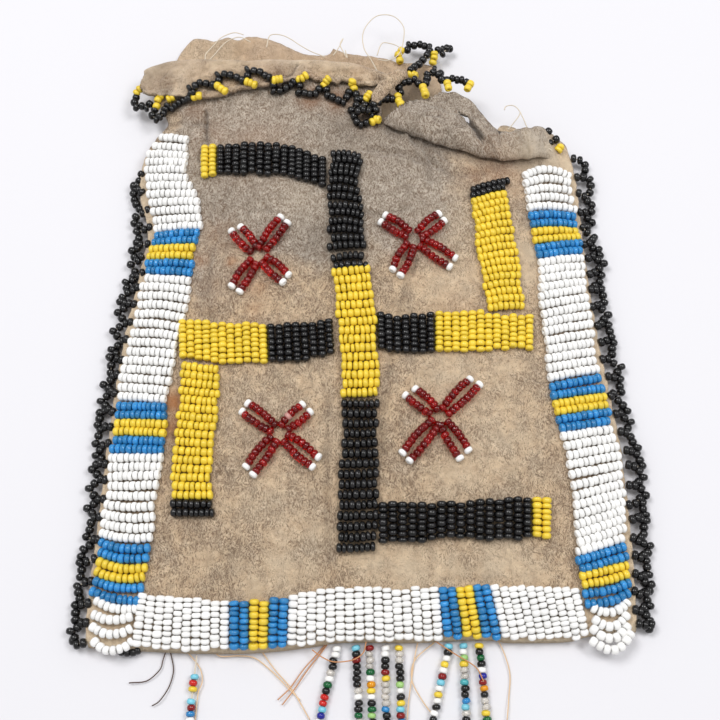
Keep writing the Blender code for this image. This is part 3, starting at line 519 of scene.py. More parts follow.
# painted shade along the line where the cuff is folded over itself
creaseShade = 0.8 * np.exp(-((toLine(x, y, cuffCrease) / 0.4) ** 2))
greyed = 0.35 * ease((-38 - x) / 14) + 0.35 * ease((x + 30) / 12) * ease((-12 - x) / 6)
paint = {
    "shadeAndSoil": np.clip(0.12 + 0.4 * fine + 0.25 * ease((-48 - x) / 5) + creaseShade, 0, 1),
    "orange": np.clip(0.15 + 0.5 * broad, 0, 0.6),
    # paler towards the fold: painted highlight on the cuff's rounded top
    "pale": np.clip(0.3 + 0.5 * ease((y - 68) / 5) - 0.5 * fine, 0, 1),
    "grey": np.clip(greyed + 0.3 * broad, 0, 0.8),
}
cuffHide = sheetObject("cuffHide", cuffMiddle + cuffHalf, cuffMiddle - cuffHalf, paint)
print("cuff made")

# Hide: brain-tanned, soft nap with short dark fibres, greyed by handling
hideColours = {
    "tan": ("#B2967A", "#E6CCAA"),
    "grey": ("#A39585", "#D6C9B9"),
    "flecks": "#6B543F",
    "fibres": "#EBDCC6",
    "wrinkleShade": "#5E4E40",
    # the darkest stain colour paints both soil and the painted shade in creases, gaps and under the trim
    "stains": (("orange", "#AD6C36", 0.78), ("pale", "#EAD5B6", 0.5), ("shadeAndSoil", "#4A3F35", 0.7)),
}
# Layers of felted fibres about 0.3 by 0.7 mm: turn, then scales per metre
fibreLayers = ((0.4, 3300.0, 1500.0), (-0.8, 2900.0, 1400.0), (1.9, 3600.0, 1900.0))


def hideMaterial():
    material, tree = newMaterial("brainTannedHide")
    where = addNode(tree, "ShaderNodeTexCoord").outputs["Object"]
    warp = noiseNode(tree, where, 260.0, 2.0).outputs["Color"]
    bent = addNode(tree, "ShaderNodeVectorMath", {0: warp, "Scale": 0.0035}, operation="SCALE").outputs[0]
    moved = addNode(tree, "ShaderNodeVectorMath", {0: where, 1: bent}, operation="ADD").outputs[0]
    masks = []
    for angle, wide, long in fibreLayers:
        inputs = {"Vector": moved, "Rotation": (0.0, 0.0, angle), "Scale": (wide, long, 900.0)}
        turned = addNode(tree, "ShaderNodeMapping", inputs).outputs["Vector"]
        masks.append(noiseNode(tree, turned, 1.0, 4.0, 0.7).outputs["Fac"])
    lowest = mathNode(tree, "MINIMUM", mathNode(tree, "MINIMUM", masks[0], masks[1]), masks[2])
    patch = noiseNode(tree, where, 150.0, 5.0, 0.65).outputs["Fac"]
    mottle = noiseNode(tree, where, 520.0, 6.0, 0.75).outputs["Fac"]
    wornGrey, wornPale = attributeOf(tree, "grey"), attributeOf(tree, "pale")
    shade = remap(tree, mottle, 0.32, 0.68)
    tan, grey = (mixColour(tree, shade, *map(linear, hideColours[key])) for key in ("tan", "grey"))
    amount = remap(tree, mathNode(tree, "ADD", wornGrey, patch), 0.4, 1.1)
    colour = mixColour(tree, amount, tan, grey)
    worn = mathNode(tree, "MULTIPLY_ADD", wornPale, -0.3, patch)  # fewer dark flecks where the hide is pale
    greyer = mathNode(tree, "MULTIPLY_ADD", wornGrey, 0.1, worn)
    edge = mathNode(tree, "SUBTRACT", remap(tree, greyer, 0.2, 0.5, 0.345, 0.45), lowest)
    dark = mathNode(tree, "MULTIPLY", remap(tree, edge, -0.005, 0.024), 0.8)
    colour = mixColour(tree, dark, colour, linear(hideColours["flecks"]))
    pale = remap(tree, masks[0], 0.56, 0.72, 0.0, 0.3)
    colour = mixColour(tree, pale, colour, linear(hideColours["fibres"]))
    inputs = {"Vector": moved, "Scale": 150.0}
    cells = addNode(tree, "ShaderNodeTexVoronoi", inputs, feature="DISTANCE_TO_EDGE")
    line = remap(tree, cells.outputs["Distance"], 0.0, 0.045, 1.0, 0.0)
    broken = remap(tree, noiseNode(tree, where, 110.0, 3.0).outputs["Fac"], 0.54, 0.68, 0.0, 0.4)
    wrinkle = mathNode(tree, "MULTIPLY", line, broken)
    # wrinkle lines are painted darker: painted shade in the creases
    colour = mixColour(tree, wrinkle, colour, linear(hideColours["wrinkleShade"]))
    for label, code, strength in hideColours["stains"]:
        part = mathNode(tree, "MULTIPLY", attributeOf(tree, label), strength)
        colour = mixColour(tree, part, colour, linear(code))
    rough = mathNode(tree, "SUBTRACT", mathNode(tree, "ADD", mottle, lowest), wrinkle)
    bump = addNode(tree, "ShaderNodeBump", {"Height": rough, "Strength": 0.9, "Distance": 0.0007})
    principled(tree, {
        "Base Color": colour, "Roughness": 0.95, "Normal": bump.outputs["Normal"],
        "Sheen Weight": 0.2, "Sheen Roughness": 0.5, "Specular IOR Level": 0.2,
    })
    return material


hideFinish = hideMaterial()
for piece in (frontHide, backHide, cuffHide):
    piece.data.materials.append(hideFinish)


def treeOf(*objects):  # the upper surfaces that beads are seated on
    points, faces = [], []
    for obj in objects:
        start = len(points)
        points += [tuple(v.co) for v in obj.data.vertices]
        faces += [[start + i for i in polygon.vertices] for polygon in obj.data.polygons]
    return BVHTree.FromPolygons(points, faces)


frontSurface = treeOf(frontHide)
allSurfaces = treeOf(frontHide, cuffHide, backHide)


def surfaceAt(x, y, surface):  # height of the surface under a point in plan, in mm, or None
    hit = surface.ray_cast(Vector((x * mm, y * mm, 0.05)), Vector((0, 0, -1)))
    return None if hit[0] is None else hit[0].z / mm


# Glass seed beads: a short round tube with soft edges
bead = {"radius": 0.95, "length": 1.3, "hole": 0.24, "sides": 12}
rowSize = {
    "step": 1.33,  # from bead to bead in a row
    "sink": 0.08,  # depth of a bead's underside in the nap
    "fullPitch": 2.1,  # rows closer than this lie lower
    "tightPitch": 1.85,  # the row spacing at which a bead has its own width
    "uneven": 0.4,  # most that a row's end stands out or back
}
beadKinds = {  # colour, roughness, how clear the glass is
    "white": ("#F3F2F0", 0.2, 0.0), "black": ("#141314", 0.08, 0.0), "yellow": ("#EACB3C", 0.3, 0.0),
    "blue": ("#3A9BDE", 0.1, 0.35), "red": ("#C20E0A", 0.03, 0.85), "pink": ("#E3A9A0", 0.15, 0.3),
    "sky": ("#7CCBE0", 0.2, 0.0), "green": ("#0E6B38", 0.12, 0.3), "lime": ("#9CC777", 0.25, 0.0),
    "orange": ("#E89A10", 0.2, 0.1), "navy": ("#2326A0", 0.12, 0.2), "brick": ("#8C1414", 0.15, 0.1),
    "scarlet": ("#C41E18", 0.15, 0.0), "clear": ("#F0EBE4", 0.12, 0.5), "teal": ("#4FB4BC", 0.2, 0.1),
}
# Darkest and lightest bead of a kind
shades = {"black": (0.6, 1.5), "blue": (0.75, 1.25), "red": (0.6, 1.4), "white": (0.93, 1.05)}
otherShades = (0.88, 1.04)


def beadObject():
    r, h, hole = bead["radius"], bead["length"] / 2, bead["hole"]
    lower = [(hole, -0.75 * h), (0.6 * r, -h), (0.91 * r, -0.7 * h), (r, -0.2 * h)]
    profile = lower + [(out, -z) for out, z in reversed(lower)]
    points, faces, sides, rings = [], [], bead["sides"], len(profile)
    for side in range(sides):
        a = 2 * math.pi * side / sides
        points += [(p * math.cos(a) * mm, p * math.sin(a) * mm, z * mm) for p, z in profile]
        for k in range(rings):
            m, here, there = (k + 1) % rings, side * rings, (side + 1) % sides * rings
            faces.append((here + k, there + k, there + m, here + m))
    return meshObject("seedBead", points, faces, shown=False)


def glassMaterial():  # opaque and clear glass, tinted bead by bead
    material, tree = newMaterial("seedBeadGlass")
    tint, finish = attributeOf(tree, "beadTint", "Color"), attributeOf(tree, "beadFinish", "Vector")
    rough, clear, _ = addNode(tree, "ShaderNodeSeparateXYZ", {"Vector": finish}).outputs
    principled(tree, {"Base Color": tint, "Roughness": rough, "Transmission Weight": clear, "IOR": 1.5})
    return material


def scatterGroup():
    tree = bpy.data.node_groups.new("beadScatter", "GeometryNodeTree")
    for name, kind in (("Places", "Geometry"), ("Bead", "Object"), ("Finish", "Material")):
        tree.interface.new_socket(name, in_out="INPUT", socket_type=f"NodeSocket{kind}")
    tree.interface.new_socket("Beads", in_out="OUTPUT", socket_type="NodeSocketGeometry")
    given = addNode(tree, "NodeGroupInput").outputs
    model = addNode(tree, "GeometryNodeObjectInfo", {"Object": given["Bead"]}).outputs["Geometry"]
    placing = {"Points": given["Places"], "Instance": model}
    for socket, label in (("Rotation", "turn"), ("Scale", "swell")):
        stored = addNode(tree, "GeometryNodeInputNamedAttribute", {"Name": label}, data_type="FLOAT_VECTOR")
        placing[socket] = stored.outputs["Attribute"]
    placed = addNode(tree, "GeometryNodeInstanceOnPoints", placing).outputs["Instances"]
    real = addNode(tree, "GeometryNodeRealizeInstances", {"Geometry": placed}).outputs["Geometry"]
    done = addNode(tree, "GeometryNodeSetMaterial", {"Geometry": real, "Material": given["Finish"]})
    addNode(tree, "NodeGroupOutput", {"Beads": done.outputs["Geometry"]})
    return tree


seedBead, glass, beadScatter = beadObject(), glassMaterial(), scatterGroup()
socketOf = {item.name: item.identifier for item in beadScatter.interface.items_tree if item.in_out == "INPUT"}


def beadsFrom(name, beads, body, replaced=()):  # beads: (place in mm, axis, kind, swell)
    mesh = bpy.data.meshes.new(name + "Places")
    mesh.from_pydata([tuple(Vector(place) * mm) for place, _, _, _ in beads], [], [])
    turns, swells, tints, finishes = [], [], [], []
    for _, axis, kind, swell in beads:
        spin = Matrix.Rotation(dice.uniform(0, math.tau), 4, "Z")
        turns += (Vector(axis).to_track_quat("Z", "Y").to_matrix().to_4x4() @ spin).to_euler()
        swells += [swell[0] * dice.uniform(0.95, 1.05), swell[0] * dice.uniform(0.96, 1.04), swell[1]]
        code, rough, clear = beadKinds[kind]
        shade = dice.uniform(*shades.get(kind, otherShades))
        tints += [min(1, c * shade) for c in linear(code)[:3]] + [1]
        finishes += [rough * dice.uniform(0.8, 1.3), clear, 0]
    mesh.attributes.new("beadTint", "FLOAT_COLOR", "POINT").data.foreach_set("color", tints)
    for label, values in (("turn", turns), ("swell", swells), ("beadFinish", finishes)):
        mesh.attributes.new(label, "FLOAT_VECTOR", "POINT").data.foreach_set("vector", values)
    source = bpy.data.objects.new(name + "Places", mesh)
    bpy.context.collection.objects.link(source)
    modifier = source.modifiers.new("beads", "NODES")
    modifier.node_group = beadScatter
    modifier[socketOf["Bead"]], modifier[socketOf["Finish"]] = seedBead, glass
    made = bpy.data.meshes.new_from_object(source.evaluated_get(bpy.context.evaluated_depsgraph_get()))
    bpy.data.objects.remove(source)
    for label in ("turn", "swell"):
        made.attributes.remove(made.attributes[label])
    made.name = name
    obj = bpy.data.objects.new(name, made)
    bpy.context.collection.objects.link(obj)
    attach(obj, body)
    if replaced:
        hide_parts(*replaced)
    return obj


def rowBeads(a, b, kind, pitch, drop, arch=0.3):  # one row from a to b, sagging towards the hem by drop
    a, b = np.array(a, float), np.array(b, float)
    way = unit(b - a)
    shares = np.linspace(0, 1, 25)[:, None]
    line = a + shares * (b - a) + 4 * drop * shares * (1 - shares) * np.array([way[1], -way[0]])
    path = []
    count = max(2, round(np.linalg.norm(b - a) / rowSize["step"]))
    height = bead["radius"] * min(1.0, pitch / rowSize["fullPitch"]) - rowSize["sink"]
    widths = np.array([dice.uniform(0.8, 1.2) for _ in range(count)])
    shares = (np.cumsum(widths) - widths / 2) / widths.sum()
    for g in shares:
        x, y = alongLine(line, g)
        x, y = x + dice.uniform(-0.05, 0.05), y + dice.uniform(-0.09, 0.09)
        base = surfaceAt(x, y, frontSurface)
        base = frontHeight(x, y) if base is None else base
        path.append([x, y, base + height + arch * (1 - (2 * g - 1) ** 2) + dice.uniform(-0.05, 0.08)])
    path = np.array(path)
    if len(path) > 2:
        path[1:-1, 2] = (path[:-2, 2] + 2 * path[1:-1, 2] + path[2:, 2]) / 4
    ways = np.gradient(path, axis=0)
    lengths = widths / widths.sum() * travelled(line)[-1]
    beads = []
    for place, tangent, spacing in zip(path, ways, lengths):
        tilt = np.array([dice.uniform(-0.1, 0.1) for _ in range(3)])
        wide = min(1.2, pitch / rowSize["tightPitch"]) * dice.uniform(0.95, 1.05)
        long = spacing / bead["length"] * dice.uniform(0.92, 1.03)
        beads.append((place, tangent + tilt, kind, (wide, long)))
    return beads


def measuredRows(rows, kinds, bow):  # rows given by both of their ends; bow is (row, sag) pairs
    rows = np.array(rows)
    steps = np.linalg.norm(np.gradient((rows[:, :2] + rows[:, 2:]) / 2, axis=0), axis=1)
    pitches = (steps + steps.mean()) / 2
    bows = np.interp(np.arange(len(rows)), *zip(*bow))
    beads = []
    for row, kind, pitch, drop in zip(rows, kinds, pitches, bows):
        beads += rowBeads(row[:2], row[2:], kind, pitch, drop)
    return beads


def laneRows(edgeA, edgeB, kinds, bow, arch):  # rows spread evenly between two edges
    beads, count, most = [], len(kinds), rowSize["uneven"]
    edgeA, edgeB = spline(edgeA, 60), spline(edgeB, 60)
    pitch = (travelled(edgeA)[-1] + travelled(edgeB)[-1]) / 2 / count
    for row, kind in enumerate(kinds):
        a, b = alongLine(edgeA, (row + 0.5) / count), alongLine(edgeB, (row + 0.5) / count)
        way = unit(b - a)
        a, b = a + dice.uniform(-most, most) * way, b + dice.uniform(-most, most) * way
        beads += rowBeads(a, b, kind, pitch, bow, arch)
    return beads


stripe = ["blue"] * 2 + ["yellow"] * 2 + ["blue"] * 2
leftBand = [  # outer end, inner end
    (-53.0, 54.0, -45.0, 51.6), (-54.8, 51.5, -45.2, 49.0), (-56.2, 49.3, -44.8, 46.6),
    (-56.3, 46.9, -44.9, 44.5), (-56.5, 44.4, -45.2, 42.5), (-55.9, 41.9, -44.5, 40.0),
    (-55.5, 39.5, -43.2, 37.6), (-55.4, 37.1, -42.1, 35.2), (-54.6, 34.6, -41.0, 32.9),
    (-54.1, 32.1, -40.8, 30.6), (-53.3, 29.5, -40.4, 28.3), (-52.8, 27.1, -40.0, 26.1),
    (-52.6, 25.0, -40.8, 24.2), (-53.1, 23.1, -41.1, 22.2), (-53.8, 21.3, -41.6, 20.0),
    (-54.2, 19.4, -42.0, 17.8), (-54.6, 17.5, -41.6, 15.4), (-54.2, 15.4, -42.0, 13.0),
    (-54.2, 13.2, -42.2, 10.6), (-55.4, 11.0, -42.1, 8.2), (-55.8, 8.5, -42.3, 5.7),
    (-55.6, 5.9, -42.7, 3.2), (-56.1, 3.4, -43.2, 0.7), (-56.3, 0.9, -44.1, -1.7),
    (-57.0, -1.6, -44.5, -3.9), (-57.5, -4.0, -44.9, -6.2), (-57.5, -6.5, -45.0, -8.5),
    (-58.4, -8.7, -45.1, -10.8), (-58.8, -10.9, -45.6, -13.1), (-59.1, -13.2, -45.6, -15.5),
    (-59.1, -15.7, -46.3, -17.9), (-58.9, -18.1, -46.6, -20.1), (-59.1, -20.6, -46.5, -22.2),
    (-59.2, -22.9, -46.3, -24.2), (-59.3, -25.0, -46.0, -26.3), (-59.5, -27.0, -46.3, -28.5),
    (-59.4, -29.2, -46.5, -30.6), (-60.1, -31.3, -46.6, -32.6), (-60.2, -33.6, -46.6, -34.5),
    (-60.1, -36.0, -46.9, -36.5), (-60.0, -38.3, -47.1, -38.6), (-59.7, -40.5, -47.4, -40.9),
    (-60.0, -42.6, -47.7, -43.4), (-60.4, -44.8, -48.1, -45.9), (-60.9, -47.0, -47.9, -48.4),
    (-60.8, -49.3, -47.8, -50.8), (-60.9, -51.6, -48.2, -53.1), (-60.9, -53.9, -48.6, -55.5),
    (-60.9, -56.1, -48.8, -57.8), (-61.1, -58.3, -49.0, -60.0), (-61.4, -60.5, -49.6, -62.1),
    (-61.6, -62.7, -49.7, -64.6), (-62.2, -65.1, -50.5, -67.6),
]
rightBand = [  # inner end, outer end
    (42.3, 40.3, 55.1, 42.5), (42.2, 38.0, 55.1, 40.5), (42.5, 35.8, 55.0, 38.1), (42.6, 33.5, 55.4, 35.4),
    (42.7, 31.1, 56.1, 32.7), (42.9, 28.7, 55.6, 30.5), (43.3, 26.4, 55.8, 28.3), (43.6, 24.3, 56.0, 26.5),
    (43.7, 22.0, 56.4, 25.0), (44.3, 19.9, 56.9, 23.4), (44.5, 18.1, 56.7, 21.2), (44.8, 16.0, 57.0, 19.1),
    (44.9, 13.9, 57.1, 16.8), (44.8, 11.6, 56.9, 14.6), (44.5, 9.1, 57.0, 12.4), (44.4, 6.7, 56.8, 10.4),
    (44.5, 4.3, 57.4, 8.2), (44.8, 1.8, 57.5, 5.9), (45.1, -0.4, 57.8, 3.5), (44.9, -2.7, 58.1, 1.0),
    (45.3, -5.1, 58.3, -1.6), (45.6, -7.5, 57.8, -4.1), (45.2, -9.9, 58.0, -6.4), (45.3, -12.3, 58.1, -8.8),
    (45.4, -14.7, 58.8, -10.9), (45.8, -17.1, 58.9, -13.4), (46.0, -19.3, 59.8, -16.0),
    (46.4, -21.4, 60.1, -18.1), (46.7, -23.3, 60.2, -20.2), (46.9, -25.3, 61.0, -22.0),
    (47.7, -27.3, 60.4, -24.4), (47.9, -29.3, 60.9, -26.4), (48.5, -31.6, 61.4, -28.6),
    (49.1, -33.9, 62.2, -30.6), (49.0, -36.2, 62.5, -32.9), (49.3, -38.5, 62.6, -35.3),
    (49.8, -41.1, 62.4, -37.7), (50.1, -43.5, 62.3, -39.9), (50.1, -45.7, 62.9, -42.0),
    (50.0, -48.0, 62.5, -44.2), (50.0, -50.4, 62.4, -46.2), (50.1, -52.6, 62.4, -48.2),
    (50.5, -54.6, 62.3, -50.4), (50.0, -56.6, 61.8, -52.9), (49.9, -58.7, 62.1, -54.9),
    (50.9, -60.5, 62.5, -57.0), (50.6, -62.1, 62.4, -59.2), (51.2, -63.9, 62.3, -61.2),
    (51.1, -66.0, 62.6, -63.2), (51.5, -68.3, 62.2, -65.5),
]
hemBand = [  # upper edge, lower edge, rows by colour
    ([(-50.9, -65.6), (-43.3, -66.4), (-38.0, -66.8), (-34.9, -67.3), (-29.8, -67.5)],
     [(-52.0, -77.9), (-41.0, -78.3), (-29.6, -78.5)], ["white"] * 10),
    ([(-29.8, -67.5), (-24.1, -67.7), (-19.8, -67.4), (-16.2, -66.7)],
     [(-29.6, -78.5), (-22.6, -78.3), (-16.7, -77.7)], stripe),
    ([(-16.2, -66.7), (-12.8, -65.8), (-9.5, -65.1), (-3.0, -64.7), (4.2, -65.0), (10.6, -64.9),
      (17.9, -64.5)], [(-16.7, -77.7), (-10.5, -77.0), (-4.1, -76.2), (12.6, -76.2), (19.0, -75.9)],
    ["white"] * 16),
    ([(17.9, -64.5), (23.2, -64.4), (29.6, -64.2)], [(19.0, -75.9), (23.6, -75.7), (32.4, -76.0)], stripe),
    ([(29.6, -64.2), (37.5, -64.4), (43.8, -64.7), (50.2, -64.3)],
     [(32.4, -76.0), (47.3, -75.9), (52.3, -74.9)], ["white"] * 10),
]
leftCorner = [  # rows that hang in loops: left end, right end, sag
    ((-61.0, -67.2), (-51.0, -69.2), 1.1), ((-61.4, -70.3), (-51.9, -70.8), 1.3),
    ((-61.6, -72.9), (-51.9, -73.6), 1.8), ((-61.0, -76.1), (-51.6, -76.2), 2.5),
]
rightCorner = [
    ((53.0, -69.0), (61.7, -67.4), 1.9), ((53.2, -71.4), (61.4, -70.1), 2.5),
    ((52.9, -73.2), (61.4, -72.5), 3.2), ((52.4, -76.0), (61.9, -74.3), 3.4),
]
leftBow = [(0, 0.0), (18, 0.0), (22, -0.5), (28, 0.0), (40, 0.0), (44, 0.8), (50, 1.2), (52, 0.7)]
rightBow = [(0, -2.0), (1, -1.4), (2, -0.9), (4, -0.6), (6, -0.4), (8, 0.0), (46, 0.1), (49, 0.9)]
cornerPitch = 2.3


def bandKinds(*whites):  # runs of white rows, each followed by a stripe
    return [kind for count in whites for kind in ["white"] * count + stripe]


def nodesFrom(start):
    return [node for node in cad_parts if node.startswith(start)]


bands = {  # beads, start of the names of the nodes that they stand for
    "leftBandBeads": (measuredRows(leftBand, bandKinds(12, 14, 9), leftBow), "left_band_"),
    "rightBandBeads": (measuredRows(rightBand, bandKinds(5, 14, 13), rightBow), "right_band_"),
    "hemBandBeads": ([item for lane in hemBand for item in laneRows(*lane, 0.0, 0.15)], "hem_band_"),
}
for side, rows in (("left", leftCorner), ("right", rightCorner)):
    beads = [item for a, b, drop in rows for item in rowBeads(a, b, "white", cornerPitch, drop)]
    bands[f"{side}CornerBeads"] = (beads, f"corner_{side}")
for name, (beads, start) in bands.items():
    beadsFrom(name, beads, "pouch", nodesFrom(start))
print("border beads made")

# The cross with bent arms. The upright's top rows are clumped, so each has its own two ends
uprightTop = [
    ((-7.6, 44.4), (0.2, 43.3)), ((-7.1, 42.6), (0.7, 41.6)), ((-7.5, 40.8), (0.2, 39.8)),
    ((-8.0, 38.9), (-0.4, 38.0)), ((-7.9, 36.8), (-0.5, 35.9)), ((-8.3, 34.7), (0.0, 33.5)),
    ((-8.2, 32.3), (0.5, 31.1)), ((-8.1, 29.8), (0.8, 28.9)), ((-7.8, 27.6), (0.9, 26.7)),
    ((-7.8, 25.2), (0.9, 24.5)), ((-8.2, 22.9), (0.9, 22.4)), ((-7.2, 20.5), (1.1, 20.5)),
    ((-8.2, 18.1), (1.7, 18.7)), ((-7.2, 14.7), (1.0, 15.5)), ((-6.5, 12.5), (1.9, 12.9)),
]
figure = {  # start of the nodes' names, then lanes: first edge, second edge, rows by colour, bow
    "uprightBeads": ("upright_", [
        ([(-6.9, 12.3), (-6.1, 3.0), (-4.6, -8.9), (-4.4, -20.8)],
         [(2.0, 13.4), (3.5, 4.6), (4.2, -7.6), (4.5, -20.6)], ["yellow"] * 15, 0.2),
        ([(-4.4, -21.1), (-3.9, -28.7), (-4.9, -39.4), (-5.5, -57.3)],
         [(4.5, -21.1), (4.2, -28.7), (4.2, -39.4), (3.9, -56.9)], ["black"] * 15, 0.25),
    ]),
    "topArmBeads": ("top_arm", [
        ([(-41.5, 49.1), (-37.0, 49.0), (-20.1, 47.8), (-14.9, 45.6), (-8.6, 43.7)],
         [(-41.0, 39.8), (-36.6, 39.9), (-19.9, 38.6), (-14.7, 36.9), (-8.6, 35.3)],
         ["yellow"] * 2 + ["black"] * 14, 0.0),
    ]),
    "crossbarLeftBeads": ("crossbar_left", [
        ([(-44.6, -0.4), (-41.4, 0.0), (-22.4, -2.4), (-14.6, -2.1), (-6.6, -1.0)],
         [(-44.0, -9.4), (-33.3, -11.5), (-22.1, -12.0), (-14.4, -11.6), (-6.0, -10.1)],
         ["yellow"] * 11 + ["black"] * 8, 0.0),
    ]),
    "crossbarRightBeads": ("crossbar_right", [
        ([(4.0, 1.0), (8.5, -0.1), (20.2, 0.9), (28.1, 1.7), (31.8, 0.8), (42.7, 1.4)],
         [(4.3, -8.2), (7.9, -9.4), (20.0, -9.2), (42.2, -7.4)], ["black"] * 7 + ["yellow"] * 12, 0.0),
    ]),
    "rightArmBeads": ("right_arm", [
        ([(31.9, 1.6), (29.6, 14.9), (28.4, 30.7), (28.6, 35.9)],
         [(40.5, 2.8), (39.6, 15.7), (37.3, 34.7), (38.5, 39.5)], ["yellow"] * 16 + ["black"] * 2, -0.2),
    ]),
    "leftArmBeads": ("left_arm", [
        ([(-43.4, -10.4), (-43.3, -20.3), (-44.2, -36.3), (-44.3, -48.6)],
         [(-33.8, -12.3), (-33.8, -20.8), (-34.8, -36.6), (-34.1, -48.9)],
         ["yellow"] * 16 + ["black"] * 2, 0.2),
    ]),
    "bottomArmBeads": ("bottom_arm", [
        ([(4.2, -45.5), (18.5, -45.7), (30.2, -45.0), (44.7, -43.8)],
         [(4.2, -55.2), (12.6, -55.0), (21.9, -53.8), (30.0, -54.5), (44.3, -53.5)],
         ["black"] * 16 + ["yellow"] * 2, 0.0),
    ]),
}
for name, (start, lanes) in figure.items():
    beads = [item for lane in lanes for item in laneRows(*lane, arch=0.35)]
    if name == "uprightBeads":
        for a, b in uprightTop:
            beads += rowBeads(a, b, "black", 2.15, dice.uniform(-0.6, 0.1), 0.5)
    beadsFrom(name, beads, "pouch", nodesFrom(start))

# Small crosses: centre, then the two string tips of each arm
crosses = {
    "cross_upper_left": ((-25.4, 16.7), [
        ((-32.3, 23.8), (-30.2, 24.8)), ((-19.9, 26.6), (-18.3, 25.2)),
        ((-17.8, 10.9), (-19.0, 9.1)), ((-31.6, 8.4), (-29.8, 6.9)),
    ]),
    "cross_lower_left": ((-19.1, -29.3), [
        ((-28.0, -24.0), (-26.7, -22.1)), ((-13.5, -22.6), (-11.8, -24.3)),
        ((-9.8, -35.4), (-11.0, -37.5)), ((-26.5, -37.3), (-25.1, -39.2)),
    ]),
    "cross_upper_right": ((13.5, 20.6), [
        ((6.3, 26.8), (5.3, 25.2)), ((19.9, 27.4), (21.1, 25.6)),
        ((23.6, 15.4), (22.3, 13.2)), ((8.1, 12.3), (9.9, 10.6)),
    ]),
    "cross_lower_right": ((18.9, -25.5), [
        ((10.9, -20.2), (13.1, -18.7)), ((26.4, -16.0), (28.5, -17.1)),
        ((25.4, -33.6), (23.4, -35.3)), ((10.1, -34.2), (11.5, -36.0)),
    ]),
}
crossSize = {"step": 1.22, "rise": 0.85, "hump": 0.35, "spread": 0.4, "stringGap": 0.95, "bead": (1.08, 0.98)}
pinkArm, pinkPlace = (-13.5, -22.6), 5  # the one pink bead: its arm's first tip, and its place from the tip
beads = []
for centre, arms in crosses.values():
    centre = np.array(centre)
    for tips in arms:
        way = unit(np.mean(tips, axis=0) - centre)
        side = np.array([-way[1], way[0]])
        for tip in np.array(tips):
            sign = 1 if np.dot(tip - centre, side) > 0 else -1
            start = centre + way * dice.uniform(1.7, 2.4) + side * sign * crossSize["stringGap"]
            count = round(np.linalg.norm(tip - start) / crossSize["step"]) + 1
            for k, (x, y) in enumerate(np.linspace(start, tip, count)):
                share = k / (count - 1)
                swing = math.sin(math.pi * share)
                level = surfaceAt(x, y, frontSurface) + crossSize["rise"] + crossSize["hump"] * swing
                pink = (count - k, sign, tips[0]) == (pinkPlace, 1, pinkArm)
                kind = "white" if k == count - 1 else "pink" if pink else "red"
                out = side * sign * (crossSize["spread"] * swing + 0.1 * share)
                x, y = x + out[0] + dice.uniform(-0.08, 0.08), y + out[1] + dice.uniform(-0.08, 0.08)
                axis = np.array([*(tip - start), dice.uniform(-0.6, 0.6)])
                beads.append((np.array([x, y, level]), axis, kind, crossSize["bead"]))
beadsFrom("smallCrossBeads", beads, "pouch", list(crosses))
print("figure beads made")

strings = []  # name, lines, body: sinew inside the strung beads

